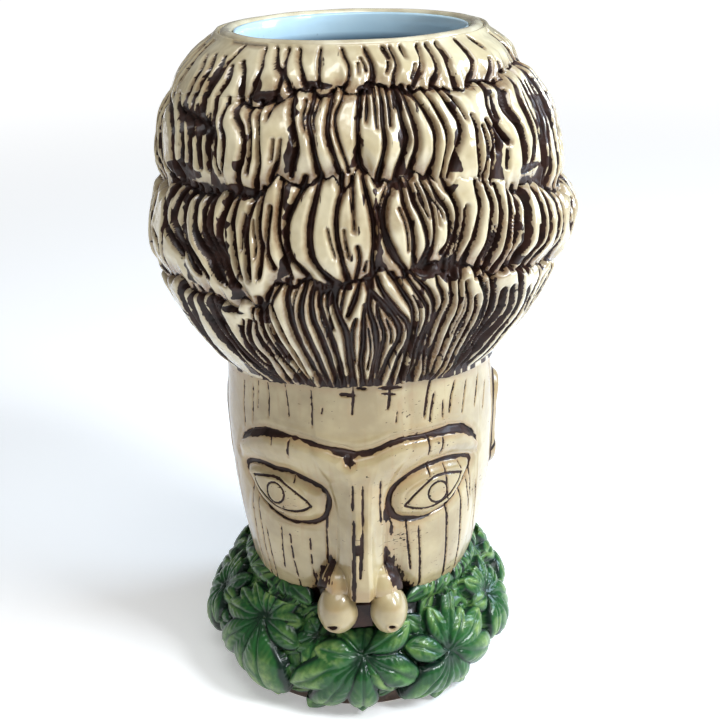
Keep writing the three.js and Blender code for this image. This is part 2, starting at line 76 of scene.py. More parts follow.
# grooves between the strands of the front: width, then points of angle and height from the top down
STRANDS = """
1.2 -77,164.5 -63,161.5 -59.5,158.5 -58.5,154 -57,150.5; 1.0 -68.5,169.5 -64.5,165.5 -57,162 -54,158 -54,152.5
1.2 -61.5,169.5 -58.5,164.5 -52,161 -50.5,157 -50.5,152.5; 1.0 -55,169 -54,164.5 -47.5,160.5 -47,156.5 -46.5,152.5
1.4 -50,168.5 -49,164 -44,160 -44,156.5 -43.5,152.5; 1.2 -44.5,166.5 -43.5,163 -40.5,159.5 -40.5,155.5 -39.5,152
1.0 -40,167 -40,163.5 -37,159.5 -37,156 -38,152; 2.2 -36,169 -36,165.5 -32,162 -30.5,158.5 -31.5,154.5 -32.5,151.5
1.4 -28,165.5 -26.5,161.5 -26,158.5 -26,155 -27,152.5; 1.2 -24.5,166 -25,164.5
.8 -20,160.5 -20.5,158 -22,154.5 -23,153; 1.2 -31.5,165 -29,161.5 -28.5,157.5 -29.5,153
2.0 -18.5,169 -18,165.5 -16.5,162 -15.5,158.5 -17,155 -18,152.5
2.4 -13,171 -12,168 -13,164.5 -11.5,161 -11,157.5 -10.5,154; 2.2 -6,170 -7,166.5 -7.5,162.5 -6.5,159 -5.5,156 -5,154
1.2 -3.5,168.5 -5.5,165 -5,162 -4,159 -3,156; 1.6 2,168.5 1,165.5 0.5,162.5 0.5,159 0,156 1,153.5
1.0 4,169.5 3.5,166 3,164; 2.0 8,170.5 8,167 7.5,163.5 7.5,160 6.5,156.5 5,152.5; 1.2 10,169.5 10,166 9.5,163
2.0 12.5,170 13,166.5 13,163.5 13.5,160.5 12,157 10,153.5
2.0 15,170.5 15.5,167 16,163.5 16,159.5 14.5,155.5 13.5,153; 2.0 18,168.5 20,165 21,161.5 20.5,158 19.5,154 18,151.5
1.8 22,169 23.5,165.5 24.5,162.5 24.5,159 23,155.5 21,151; 2.0 26.5,169 28,166 29.5,163 29,160 26,156 23,151.5
.6 29.5,168 31.5,165.5 32,163; 1.2 34,163.5 34,161 33,157.5 32.5,153.5; 1.0 36,161 36,158 35.5,154.5 34,151.5
1.0 38,162 38.5,158.5 38,155 36.5,152; 1.2 43,167 41,163.5 42,159 44,156.5
1.8 49,166.5 47,163.5 49,159.5 49.5,155.5 49,151; 2.0 57.5,167 55.5,163.5 55.5,160 55.5,155 53,151
1.4 61.5,165.5 59.5,162 60,158 60.5,153 59.5,149; 1.0 -53,178.5 -42.5,178.5 -34.5,178.5
1.2 -72.5,174.5 -68.5,172 -68.5,169.5; 1.2 -63,175 -58.5,172 -59,169; 1.2 -57.5,175.5 -53.5,172.5 -54,169
1.2 -51,175.5 -49.5,173 -50,169; 1.0 -46.5,176 -47.5,174.5 -47.5,172 -48.5,168.5
1.2 -44.5,174 -43,171.5 -44.5,168.5; 1.6 -40.5,175 -37.5,172.5 -37,170
1.4 -33.5,176.5 -31.5,174 -32,170.5 -33,168.5; 2.0 -28.5,177 -25.5,174.5 -23,172.5 -23.5,170.5
1.8 -24,176.5 -23,174 -20.5,171.5; 1.4 -18.5,176 -16.5,173.5 -15,171; 1.2 -11.5,177 -11,174 -10.5,172
1.2 -3,177 -1,174.5 -1.5,172 -3,170.5; .7 2,175.5 2,173.5; 1.8 5,177.5 6.5,175 6.5,172.5 5,170.5
2.2 11.5,178.5 13,176; 1.0 14.5,177.5 15,175 13.5,173; 1.2 18.5,178.5 19,176
1.4 25.5,178 24.5,175.5 22,173 19.5,171; 1.8 29.5,178.5 29.5,175.5 28.5,173 26,171
1.8 34,178 34,175.5 33,173 33,171; 1.2 44,177.5 44,174.5 42.5,172 40,170.5; .8 52.5,178 54.5,176
1.2 52.5,173.5 49,170.5 46.5,168.5; 1.4 58,172 54.5,170 51.5,168
1.6 -14,152 -16.5,147.5 -18.5,144 -19,139.5 -18,136 -15.5,133 -13.5,131
2.2 -10,152.5 -11,149 -12.5,144.5 -13,140.5 -12.5,136 -10.5,133 -8,130.5 -6,129
1.6 -5,153.5 -4.5,150.5 -6,146.5 -6.5,142.5 -6,138 -5,134.5 -3.5,130
1.6 1,152 1.5,149 2,146.5 2.5,143.5 2.5,139 2,135 2.5,131; .8 -1.5,138 -1,135 -1.5,131
1.2 -20.5,148 -21,143 -20.5,138 -19,134.5 -18,132; 1.4 -23,146 -23.5,141.5 -23.5,136.5 -22,132.5
1.8 -25.5,149 -26,145 -26,141 -25,137 -25,132.5 -25.5,130
2.2 -28.5,145.5 -29.5,142.5 -29.5,138 -28.5,134.5 -28,129.5; .7 -30.5,143.5 -31,139.5 -30.5,136
1.6 -34,145 -34.5,142 -33.5,138 -32,134 -30.5,129.5; 1.6 -37,144.5 -38,141.5 -38,137.5 -36,134 -33.5,129.5 -32,127
1.4 -41.5,147.5 -41.5,143 -41,139.5 -39,135.5 -35.5,131.5 -33.5,127.5
1.0 -44,147.5 -43.5,144 -43,139.5 -41,136 -37.5,131.5 -35.5,127
1.4 -48,147 -47.5,144 -46.5,140 -44,136.5 -40,132.5 -37,127.5
1.2 -50.5,146.5 -52,143.5 -52,139.5 -49.5,136 -45,132.5 -41,128
1.4 -54.5,146 -56,142.5 -56,138.5 -52,135 -47.5,132 -44,128.5; 1.4 -59,146.5 -61,142 -60.5,138 -56.5,135 -51,131.5
1.6 8,150 6,147 5,143.5 6,139 7.5,136 9.5,133; 1.4 10.5,150 10.5,146 11.5,143 12,139 12,135.5 12.5,133.5
1.6 12.5,150 13,147 14.5,143.5 15.5,139.5 15.5,136.5 14.5,133.5
1.2 16,150.5 17,147.5 17.5,144.5 17.5,140.5 17,137.5 16,134.5
1.8 18.5,150 19.5,147 21.5,144.5 22,141.5 21,137.5 19.5,135
1.8 22,150 23.5,147.5 24.5,144 24,140.5 22,136.5 20.5,133.5 20,131.5
1.4 4,146 4.5,143 5,139.5 6,136.5 8.5,133.5 11.5,131; 1.2 27,144.5 26,141.5 25,138 23.5,133.5 23,129.5
1.6 30.5,148.5 30.5,144 29,140 27,135.5 25.5,131 25,128; 1.4 33.5,148 34,144 33,140.5 31.5,136 30,132 29.5,129
1.4 36.5,147 36.5,143 35.5,140 33.5,135 32.5,131.5 32,128.5; 1.8 40.5,145.5 39.5,141 37.5,137 36,132.5 35,129.5
1.4 44,145 43,141 41,137 39.5,133.5 38.5,130; 1.6 47.5,144.5 46.5,140.5 45,137 44,133 42,129.5
1.2 51.5,143.5 51.5,140 50.5,136.5 49.5,132.5 48,129.5; 1.2 55,143 55,139.5 54,136 53,132.5 51,129
1.4 -46,123.5 -47.5,120.5 -47.5,116.5 -46.5,112 -44.5,107 -41.5,102
1.4 -42,124 -43.5,120.5 -44,116.5 -42.5,111.5 -40,106.5 -37,102.5
1.2 -39,123.5 -40.5,120 -40.5,115.5 -39,111 -36.5,106.5 -34,102.5
1.4 -30.5,117.5 -32,114 -32,109.5 -30,105.5 -30,102; 1.0 -29,117.5 -29.5,113.5 -28.5,109 -27,104.5 -26.5,101
1.2 -34.5,115 -34.5,111.5 -33.5,107 -31.5,102.5; 1.6 -26,125 -27,120.5 -27.5,116.5 -26.5,111 -25,106 -23,101.5
1.4 -23,126.5 -24.5,123 -24.5,118.5 -23.5,113.5 -22,108 -20,102
1.0 -21,127 -23,123 -22,120 -21,115 -19.5,109.5 -18,102
2.0 -18,130.5 -18.5,126.5 -18,122.5 -17.5,118 -16.5,112.5 -15.5,108 -14,101.5
2.0 -14,128 -15,123.5 -15,119.5 -14,114.5 -13,110 -11.5,101.5
1.8 -12,128 -12.5,124.5 -12,120 -10.5,114.5 -9.5,109.5 -8.5,102
1.4 -10.5,128 -10.5,124.5 -9.5,121 -8,115.5 -7,110.5 -6,102
2.2 -6.5,126 -6.5,123.5 -5,120 -3.5,116 -3,109.5 -2.5,101.5; 1.0 -4.5,125.5 -5,121.5 -4,117.5
1.6 -1,127.5 -2,124 -3,121; 1.6 1,124 1,118.5 1,112 0.5,106.5 1,101.5; 1.0 -1,120.5 -2,116.5 -2,111.5 -1.5,107
1.8 2,127 2,123 3.5,119 4.5,114.5 5,110 4.5,104.5; 1.2 4,124 5,120 6.5,116 6.5,111.5 6,107 6,101.5
2.0 2,127.5 8.5,120.5 10.5,117 11,114 9.5,109.5 8,104.5
1.8 4,129 6.5,125 10,121 13,117.5 14,112.5 12.5,108.5 11.5,101.5
1.6 7.5,130 10.5,126 13.5,121.5 14.5,116 14.5,111.5 14.5,106 14.5,100.5
1.4 10.5,130.5 14,126 17.5,121.5 18,116.5 17,110.5 18,101.5; 1.4 13,129.5 17,126 19,122 19.5,118 18.5,112 19,104.5
1.2 19,127.5 21,124 20.5,119.5 20,113.5 20.5,106 22.5,101
1.6 22.5,126.5 23.5,123 23,118.5 22,112.5 22.5,105 24.5,100.5; 1.4 25,125 26,121 25.5,116 25,110 25.5,103 26.5,100.5
1.4 27,125.5 29,120.5 28.5,115.5 28,109.5 29,101.5; 1.4 30,123 31.5,119 31.5,114 31,107.5 32,101.5
1.6 31,126.5 34,121.5 34.5,116.5 34,111.5 34,105 35,100
1.4 34.5,126 37,121 38,115.5 37.5,110.5 36.5,105.5 37.5,100.5
1.4 39.5,122.5 41,117.5 40.5,112.5 39.5,107.5 39,102.5; 1.4 42.5,122.5 44.5,117 44.5,112 43,107.5 42.5,102.5
1.2 46,122.5 48.5,117 48.5,112.5 47,107.5 46.5,102.5; 1.2 51.5,120 54,115.5 53.5,111 51.5,107 51.5,102.5
"""
# hollows between the tips of the locks, dark with stain and painted shade: angle, height, half width, half height
HOLLOWS = [(-27.5, 168.6, 4.6, 1.5), (-30.5, 171.0, 1.8, 1.6), (-11, 171.3, 3.6, 0.8), (3.5, 170.2, 2.2, 1.1), (-34.5, 119.8, 3.6, 0.8),
           (-33.5, 148.2, 5.6, 1.5), (-55, 150.6, 8.0, 2.0), (17.5, 131.4, 5.0, 1.9), (22, 129.2, 2.6, 1.3), (-6.5, 128.4, 4.2, 0.9),
           (52, 149.4, 5.0, 1.2), (1.5, 130.6, 1.4, 1.2), (9.5, 150.4, 2.0, 0.8), (-62, 147.5, 4.0, 1.2), (44, 129.0, 2.4, 1.2)]


# ------------------------------------------------------------------ small numeric helpers
def tab(table, x):
    t = sorted(table)
    return np.interp(x, [a for a, _ in t], [b for _, b in t])


def wrap(p):
    return (np.asarray(p, float) + 180.0) % 360.0 - 180.0


def smooth(a, b, x):
    t = np.clip((x - a) / (b - a), 0.0, 1.0)
    return t * t * (3.0 - 2.0 * t)


def softened(table, lo, hi, width):
    """The table as a dense curve with its corners rounded over about width millimetres."""
    step = 0.25
    x = np.arange(lo - 6 * width, hi + 6 * width, step)
    y = tab(table, np.clip(x, lo, hi))
    first, last = np.gradient(tab(table, x), x)[[0, -1]]
    n = int(width / step) * 2 + 1
    k = np.hanning(n + 2)[1:-1]
    pad = np.pad(y, n, mode="edge")
    z = np.convolve(pad, k / k.sum(), mode="same")[n:-n]
    return x, z


HX, HY = softened(HAIR_OUT, 93, 179.2, 2.4)
FX, FY = softened(FACE_OUT, 0, 99, 5.0)
ARC_Z = np.linspace(88, 182, 800)
ARC_R = np.interp(ARC_Z, HX, HY)
ARC_S = np.concatenate([[0], np.cumsum(np.hypot(np.diff(ARC_Z), np.diff(ARC_R)))])


def hair_radius(z):
    return np.interp(z, HX, HY)


def face_radius(z):
    return np.interp(z, FX, FY)


def arc(z):
    return np.interp(z, ARC_Z, ARC_S)


def lattice(ix, iy, iz, seed):
    h = (ix * 374761393 + iy * 668265263 + iz * 1442695041 + seed * 974634777) & 0xFFFFFFFF
    h = ((h ^ (h >> 13)) * 1274126177) & 0xFFFFFFFF
    return ((h ^ (h >> 16)) & 0xFFFF) / 32767.5 - 1.0


def noise(p, size, seed):
    """Smooth value noise from -1 to 1 at points p (..., 3) in millimetres."""
    q = np.asarray(p) / size
    i = np.floor(q).astype(np.int64)
    f = q - i
    f = f * f * (3 - 2 * f)
    out = 0.0
    for dx in (0, 1):
        wx = f[..., 0] if dx else 1 - f[..., 0]
        for dy in (0, 1):
            wy = f[..., 1] if dy else 1 - f[..., 1]
            for dz in (0, 1):
                wz = f[..., 2] if dz else 1 - f[..., 2]
                out = out + wx * wy * wz * lattice(i[..., 0] + dx, i[..., 1] + dy, i[..., 2] + dz, seed)
    return out


LEAN_Z = np.array([a for a, _ in LEAN], float)
LEAN_X = np.array([b for _, b in LEAN], float)


def polar(r, p, z):
    return np.stack([r * np.sin(p * K) + np.interp(z, LEAN_Z, LEAN_X), -r * np.cos(p * K), z + 0 * r], -1)


class Lines:
    """Polylines (angle, level, width) with the signed distance to their nearest edge, in millimetres."""

    def __init__(self, lines, taper=True, level=None):
        rows = []
        for line in lines:
            a = np.array(line, float)
            if level is not None:
                a[:, 1] = level(a[:, 1])
            if taper and len(a) >= 2:
                first = a[0] + (a[1] - a[0]) * 0.18
                last = a[-1] + (a[-2] - a[-1]) * 0.18
                a = np.vstack([a[:1], [first], a[1:-1], [last], a[-1:]])
                a[0, 2] *= 0.25
                a[-1, 2] *= 0.45
            for b, c in zip(a[:-1], a[1:]):
                rows.append([*b, *c])
        seg = np.array(rows)
        far = seg[np.abs(seg[:, 0]) > 140]
        left, right = far.copy(), far.copy()
        left[:, [0, 3]] -= 360
        right[:, [0, 3]] += 360
        self.seg = np.vstack([seg, left, right])

    def edge(self, p, s, r, reach=4.0):
        out = np.full(p.shape, reach)
        span = reach / max(float(np.min(r)), 1.0) / K
        p0, p1, s0, s1 = p.min() - span, p.max() + span, s.min() - reach, s.max() + reach
        g = self.seg
        keep = ((np.minimum(g[:, 0], g[:, 3]) < p1) & (np.maximum(g[:, 0], g[:, 3]) > p0)
                & (np.minimum(g[:, 1], g[:, 4]) < s1) & (np.maximum(g[:, 1], g[:, 4]) > s0))
        for a0, b0, w0, a1, b1, w1 in g[keep]:
            near = ((p > min(a0, a1) - span) & (p < max(a0, a1) + span)
                    & (s > min(b0, b1) - reach) & (s < max(b0, b1) + reach))
            if not near.any():
                continue
            k = K * r[near]
            x, y, dx, dy = (p[near] - a0) * k, s[near] - b0, (a1 - a0) * k, b1 - b0
            t = np.clip((x * dx + y * dy) / (dx * dx + dy * dy + 1e-9), 0, 1)
            e = np.hypot(x - t * dx, y - t * dy) - 0.5 * (w0 + (w1 - w0) * t)
            out[near] = np.minimum(out[near], e)
        return out


# ------------------------------------------------------------------ mesh builders
def quads_of(rows, cols, base=0, loop=False):
    i = np.arange(rows - 1)[:, None]
    j = np.arange(cols if loop else cols - 1)[None, :]
    n = (j + 1) % cols
    return np.stack([base + i * cols + j + 0 * n, base + i * cols + n, base + (i + 1) * cols + n,
                     base + (i + 1) * cols + j + 0 * n], -1).reshape(-1, 4)


def mesh_object(name, verts, quads, tris, values, material, node, rim=None):
    mesh = bpy.data.meshes.new(name)
    verts = np.asarray(verts, np.float32) * MM
    quads = np.asarray(quads, np.int32).reshape(-1, 4)
    tris = np.asarray(tris, np.int32).reshape(-1, 3)
    mesh.vertices.add(len(verts))
    mesh.vertices.foreach_set("co", verts.ravel())
    loops = np.concatenate([quads.ravel(), tris.ravel()])
    starts = np.concatenate([np.arange(len(quads)) * 4, len(quads) * 4 + np.arange(len(tris)) * 3])
    mesh.loops.add(len(loops))
    mesh.loops.foreach_set("vertex_index", loops)
    mesh.polygons.add(len(starts))
    mesh.polygons.foreach_set("loop_start", starts.astype(np.int32))
    mesh.polygons.foreach_set("use_smooth", np.ones(len(starts), bool))
    mesh.update(calc_edges=True)
    if rim is not None:
        flag = np.zeros(len(verts), bool)
        flag[rim] = True
        e = np.zeros(len(mesh.edges) * 2, np.int32)
        mesh.edges.foreach_get("vertices", e)
        e = e.reshape(-1, 2)
        sharp = mesh.attributes.new("sharp_edge", "BOOLEAN", "EDGE")
        sharp.data.foreach_set("value", flag[e[:, 0]] & flag[e[:, 1]])
    for key, data in values.items():
        attribute = mesh.attributes.new(key, "FLOAT", "POINT")
        attribute.data.foreach_set("value", np.ascontiguousarray(data, np.float32))
    mesh.validate()
    obj = bpy.data.objects.new(name, mesh)
    bpy.context.scene.collection.objects.link(obj)
    mesh.materials.append(material)
    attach(obj, "root")
    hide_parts(node)
    return obj


STEP = 8


def count(length, grid=None):
    """Grid lines for that length, so that the intervals are a multiple of STEP."""
    return max(1, int(round(length / (grid or GRID) / STEP))) * STEP + 1


def closed_patch(name, top, back, values, material, node):
    """top (rows, cols, 3) seen from outside, rows upwards; back is the same grid moved to the wall."""
    rows, cols = top.shape[:2]
    ri, ci = np.arange(0, rows, STEP), np.arange(0, cols, STEP)
    small = back[np.ix_(ri, ci)]
    verts = np.vstack([top.reshape(-1, 3), small.reshape(-1, 3)])
    base = rows * cols
    br, bc = len(ri), len(ci)

    def loop(r, c, start):
        g = start + np.arange(r * c).reshape(r, c)
        return np.concatenate([g[0, :-1], g[:-1, -1], g[-1, :0:-1], g[:0:-1, 0]])

    fine, coarse = loop(rows, cols, 0), loop(br, bc, base)
    n = len(fine)
    tris = []
    k = np.arange(len(coarse))
    b0, b1 = coarse[k], coarse[(k + 1) % len(coarse)]
    for m in range(STEP):
        f0, f1 = fine[(k * STEP + m) % n], fine[(k * STEP + m + 1) % n]
        tris.append(np.stack([f1, f0, b0 if m < STEP // 2 else b1], -1))
    tris.append(np.stack([fine[(k * STEP + STEP // 2) % n], b0, b1], -1))
    quads = np.vstack([quads_of(rows, cols), quads_of(br, bc, base)[:, ::-1]])
    data = {key: np.concatenate([np.ravel(v), np.ravel(v[np.ix_(ri, ci)])]) for key, v in values.items()}
    return mesh_object(name, verts, quads, np.vstack(tris), data, material, node, rim=fine)


def closed_ring(name, rings, values, material, node, sharp=None):
    """rings (rows, cols, 3): a closed section carried round the axis, rows running round the section."""
    rows, cols = rings.shape[:2]
    i = np.arange(rows)[:, None]
    j = np.arange(cols)[None, :]
    i2, j2 = (i + 1) % rows, (j + 1) % cols
    quads = np.stack([i * cols + j, i * cols + j2, i2 * cols + j2, i2 * cols + j], -1).reshape(-1, 4)
    data = {key: np.ravel(v) for key, v in values.items()}
    return mesh_object(name, rings.reshape(-1, 3), quads, [], data, material, node)


def masked_patch(name, top, back, keep, values, material, node):
    """A sheet over the kept cells only: top and back share the grid, and a wall runs round every edge."""
    rows, cols = top.shape[:2]
    n = rows * cols
    keep = keep.copy()
    for _ in range(3):
        touch = (keep[:-1, :-1] & keep[1:, 1:] & ~keep[:-1, 1:] & ~keep[1:, :-1])
        keep[:-1, 1:] |= touch
        touch = (~keep[:-1, :-1] & ~keep[1:, 1:] & keep[:-1, 1:] & keep[1:, :-1])
        keep[:-1, :-1] |= touch
    q = quads_of(rows, cols).reshape(rows - 1, cols - 1, 4)
    f = np.pad(keep, 1)
    mid = f[1:-1, 1:-1]
    faces = [q[keep], (q[keep] + n)[:, ::-1]]
    for side, a, b in ((f[:-2, 1:-1], 0, 1), (f[1:-1, 2:], 1, 2), (f[2:, 1:-1], 2, 3), (f[1:-1, :-2], 3, 0)):
        m = mid & ~side
        faces.append(np.stack([q[m][:, b], q[m][:, a], q[m][:, a] + n, q[m][:, b] + n], -1))
    faces = np.vstack(faces)
    used = np.unique(faces)
    index = np.full(2 * n, -1)
    index[used] = np.arange(len(used))
    verts = np.vstack([top.reshape(-1, 3), back.reshape(-1, 3)])[used]
    data = {key: np.concatenate([np.ravel(v), np.ravel(v)])[used] for key, v in values.items()}
    return mesh_object(name, verts, index[faces], [], data, material, node)


def turned(name, profile, cols, relief, material, node):
    """profile: (radius, height) from the lower point on the axis outwards and up to the upper point on it."""
    r = np.array([a for a, _ in profile[1:-1]], float)[:, None]
    z = np.array([b for _, b in profile[1:-1]], float)[:, None]
    p = (np.arange(cols) * 360.0 / cols - 180.0)[None, :]
    ring, data = relief(r + 0 * p, p + 0 * r, z + 0 * p)
    rows = len(profile) - 2
    verts = np.vstack([[[0, 0, profile[0][1]]], ring.reshape(-1, 3), [[0, 0, profile[-1][1]]]])
    j = np.arange(cols)
    n = (j + 1) % cols
    last = 1 + rows * cols
    tris = np.vstack([np.stack([0 * j, 1 + n, 1 + j], -1),
                      np.stack([0 * j + last, last - cols + j, last - cols + n], -1)])
    quads = quads_of(rows, cols, 1, loop=True)
    out = {key: np.concatenate([[v[0, 0]], np.ravel(v), [v[-1, 0]]]) for key, v in data.items()}
    return mesh_object(name, verts, quads, tris, out, material, node)


# ------------------------------------------------------------------ materials
def shader(name):
    material = bpy.data.materials.new(name)
    material.use_nodes = True
    tree = material.node_tree
    tree.nodes.clear()
    out = tree.nodes.new("ShaderNodeOutputMaterial")
    body = tree.nodes.new("ShaderNodeBsdfPrincipled")
    tree.links.new(body.outputs["BSDF"], out.inputs["Surface"])
    return material, tree, body


def srgb(r, g, b):
    f = lambda c: c / 12.92 if c <= 0.04045 else ((c + 0.055) / 1.055) ** 2.4
    return (f(r / 255), f(g / 255), f(b / 255), 1.0)


def mix(tree, factor, a, b, kind="RGBA"):
    node = tree.nodes.new("ShaderNodeMix")
    node.data_type = kind
    ins = [s for s in node.inputs if s.enabled or s.type == kind]
    fac = node.inputs[0]
    first, second = (node.inputs[6], node.inputs[7]) if kind == "RGBA" else (node.inputs[2], node.inputs[3])
    for socket, value in ((fac, factor), (first, a), (second, b)):
        if hasattr(value, "links") or hasattr(value, "is_output"):
            tree.links.new(value, socket)
        else:
            socket.default_value = value
    return node.outputs[2] if kind == "RGBA" else node.outputs[0]


def attribute(tree, key):
    node = tree.nodes.new("ShaderNodeAttribute")
    node.attribute_name = key
    return node.outputs["Fac"]


def math_node(tree, operation, a, b=None, clamp=False):
    node = tree.nodes.new("ShaderNodeMath")
    node.operation = operation
    node.use_clamp = clamp
    for socket, value in zip(node.inputs, (a, b)):
        if value is None:
            continue
        if hasattr(value, "is_output"):
            tree.links.new(value, socket)
        else:
            socket.default_value = value
    return node.outputs[0]


def grain(tree, scale, detail=3.0, stretch=(1, 1, 1), rough=0.55):
    coord = tree.nodes.new("ShaderNodeTexCoord")
    place = tree.nodes.new("ShaderNodeMapping")
    place.inputs["Scale"].default_value = stretch
    node = tree.nodes.new("ShaderNodeTexNoise")
    node.inputs["Scale"].default_value = scale
    node.inputs["Detail"].default_value = detail
    node.inputs["Roughness"].default_value = rough
    tree.links.new(coord.outputs["Object"], place.inputs["Vector"])
    tree.links.new(place.outputs["Vector"], node.inputs["Vector"])
    return node.outputs["Fac"]


def ramp(tree, value, low, high):
    node = tree.nodes.new("ShaderNodeMapRange")
    node.interpolation_type = "SMOOTHSTEP"
    node.inputs["From Min"].default_value = low
    node.inputs["From Max"].default_value = high
    tree.links.new(value, node.inputs["Value"])
    return node.outputs["Result"]


def bump(tree, body, height, strength, distance):
    node = tree.nodes.new("ShaderNodeBump")
    node.inputs["Strength"].default_value = strength
    node.inputs["Distance"].default_value = distance
    tree.links.new(height, node.inputs["Height"])
    tree.links.new(node.outputs["Normal"], body.inputs["Normal"])


def glazed(name, pale, deep, tan, dark, gloss=0.2, coat=0.7):
    """Stained and clear-glazed clay: pale ground, warm wash near the cuts, dark stain in them; the dark and warm masks
    also carry painted shade.
    """
    material, tree, body = shader(name)
    ground = mix(tree, ramp(tree, grain(tree, 95), 0.32, 0.7), pale, deep)
    fine = grain(tree, 900, 4.0)
    speck = ramp(tree, grain(tree, 420, 2.0), 0.66, 0.78)
    wash = math_node(tree, "MULTIPLY", attribute(tree, "warm"),
                     math_node(tree, "ADD", math_node(tree, "MULTIPLY", fine, 0.9), 0.45), clamp=True)
    wash = math_node(tree, "ADD", wash, math_node(tree, "MULTIPLY", speck, 0.12), clamp=True)
    colour = mix(tree, wash, ground, tan)
    edge = math_node(tree, "ADD", attribute(tree, "stain"),
                     math_node(tree, "MULTIPLY", math_node(tree, "SUBTRACT", fine, 0.5), 0.55))
    cut = ramp(tree, edge, 0.38, 0.62)
    black = mix(tree, ramp(tree, grain(tree, 260), 0.35, 0.65), dark, tuple(c * 2.4 for c in dark[:3]) + (1,))
    tree.links.new(mix(tree, cut, colour, black), body.inputs["Base Color"])
    body.inputs["IOR"].default_value = 1.5
    tree.links.new(mix(tree, cut, coat, coat * 0.22, "FLOAT"), body.inputs["Coat Weight"])
    body.inputs["Coat Roughness"].default_value = 0.07
    body.inputs["Coat IOR"].default_value = 1.5
    tree.links.new(mix(tree, cut, 0.5, 0.2, "FLOAT"), body.inputs["Specular IOR Level"])
    rough = mix(tree, cut, gloss, gloss + 0.22, "FLOAT")
    tree.links.new(math_node(tree, "ADD", rough, math_node(tree, "MULTIPLY", fine, 0.12)), body.inputs["Roughness"])
    swell = math_node(tree, "ADD", grain(tree, 330, 2.0), math_node(tree, "MULTIPLY", fine, 0.25))
    bump(tree, body, swell, 0.35, 0.00022)
    return material


PALE, DEEP = srgb(184, 166, 125), srgb(158, 139, 100)
TAN, DARK = srgb(166, 134, 92), srgb(34, 19, 14)
HAIR_MAT = glazed("hair_glaze_look", srgb(214, 202, 169), srgb(192, 176, 139), srgb(126, 95, 66), DARK, 0.16, 0.85)
FACE_MAT = glazed("face_glaze_look", PALE, DEEP, TAN, DARK, 0.24, 0.6)
LIP_MAT = glazed("lip_glaze_look", srgb(222, 212, 184), srgb(200, 188, 156), srgb(150, 128, 96), srgb(70, 54, 44), 0.16, 0.8)
WALL_MAT = glazed("wall_glaze_look", srgb(60, 40, 30), srgb(46, 30, 22), TAN, DARK, 0.4, 0.3)


def leaf_material():
    material, tree, body = shader("leaf_glaze_look")
    tint = attribute(tree, "tint")
    crest_highlight = attribute(tree, "crest_highlight")
    deep = attribute(tree, "deep")
    mottled = grain(tree, 260, 3.0)
    green = mix(tree, tint, srgb(14, 62, 28), srgb(34, 90, 38))
    light = mix(tree, tint, srgb(72, 122, 54), srgb(140, 164, 92))
    # crest lightens the middle of each leaflet towards its tip: painted highlight
    lit = math_node(tree, "MULTIPLY", crest_highlight, ramp(tree, mottled, 0.3, 0.62), clamp=True)
    colour = mix(tree, lit, green, light)
    blot = ramp(tree, grain(tree, 620, 3.0), 0.42, 0.7)
    colour = mix(tree, math_node(tree, "MULTIPLY", blot, 0.28), colour, srgb(26, 70, 34))
    # deep darkens leaflet edges, bases, creases and the gaps between leaflets: painted shade
    shade = math_node(tree, "ADD", deep, math_node(tree, "MULTIPLY", math_node(tree, "SUBTRACT", mottled, 0.5), 0.5), clamp=True)
    colour = mix(tree, ramp(tree, shade, 0.25, 0.95), colour, srgb(10, 34, 22))
    tree.links.new(colour, body.inputs["Base Color"])
    body.inputs["Roughness"].default_value = 0.34
    body.inputs["Specular IOR Level"].default_value = 0.28
    body.inputs["Coat Weight"].default_value = 0.3
    body.inputs["Coat Roughness"].default_value = 0.06
    bump(tree, body, math_node(tree, "ADD", mottled, math_node(tree, "MULTIPLY", grain(tree, 1100), 0.3)), 0.4, 0.0003)
    return material


def earth_material():
    material, tree, body = shader("earth_glaze_look")
    crumb = grain(tree, 330, 4.0)
    colour = mix(tree, ramp(tree, crumb, 0.4, 0.68), srgb(30, 18, 14), srgb(92, 62, 44))
    colour = mix(tree, ramp(tree, grain(tree, 900, 3.0), 0.62, 0.74), colour, srgb(150, 116, 84))
    # deep mixes in a dark green-grey: painted shade under the leaves
    colour = mix(tree, attribute(tree, "deep"), colour, srgb(16, 26, 22))
    tree.links.new(colour, body.inputs["Base Color"])
    body.inputs["Roughness"].default_value = 0.35
    body.inputs["Coat Weight"].default_value = 0.5
    body.inputs["Coat Roughness"].default_value = 0.12
    bump(tree, body, crumb, 0.6, 0.0006)
    return material


def liner_material():
    material, tree, body = shader("liner_glaze_look")
    cloud = grain(tree, 60, 2.0)
    colour = mix(tree, cloud, srgb(176, 210, 228), srgb(208, 230, 238))
    # the deep attribute mixes in a dark blue: painted shade
    colour = mix(tree, attribute(tree, "deep"), colour, srgb(92, 124, 148))
    pin = ramp(tree, grain(tree, 700, 2.0), 0.72, 0.78)
    colour = mix(tree, math_node(tree, "MULTIPLY", pin, 0.35), colour, srgb(120, 138, 148))
    tree.links.new(colour, body.inputs["Base Color"])
    body.inputs["Roughness"].default_value = 0.18
    body.inputs["Coat Weight"].default_value = 0.45
    body.inputs["Coat Roughness"].default_value = 0.05
    bump(tree, body, grain(tree, 140, 2.0), 0.25, 0.0004)
    return material


def clay_material():
    material, tree, body = shader("foot_clay_look")
    crumb = grain(tree, 600, 4.0)
    colour = mix(tree, crumb, srgb(214, 202, 178), srgb(186, 168, 138))
    colour = mix(tree, ramp(tree, grain(tree, 1500, 3.0), 0.66, 0.76), colour, srgb(120, 96, 72))
    edge = math_node(tree, "ADD", attribute(tree, "stain"), math_node(tree, "MULTIPLY", math_node(tree, "SUBTRACT", crumb, 0.5), 0.6))
    brown = mix(tree, crumb, srgb(34, 22, 17), srgb(96, 66, 46))
    tree.links.new(mix(tree, ramp(tree, edge, 0.4, 0.6), colour, brown), body.inputs["Base Color"])
    tree.links.new(mix(tree, attribute(tree, "stain"), 0.85, 0.4, "FLOAT"), body.inputs["Roughness"])
    bump(tree, body, crumb, 0.5, 0.0004)
    return material


LEAF_MAT, EARTH_MAT, LINER_MAT, CLAY_MAT = leaf_material(), earth_material(), liner_material(), clay_material()


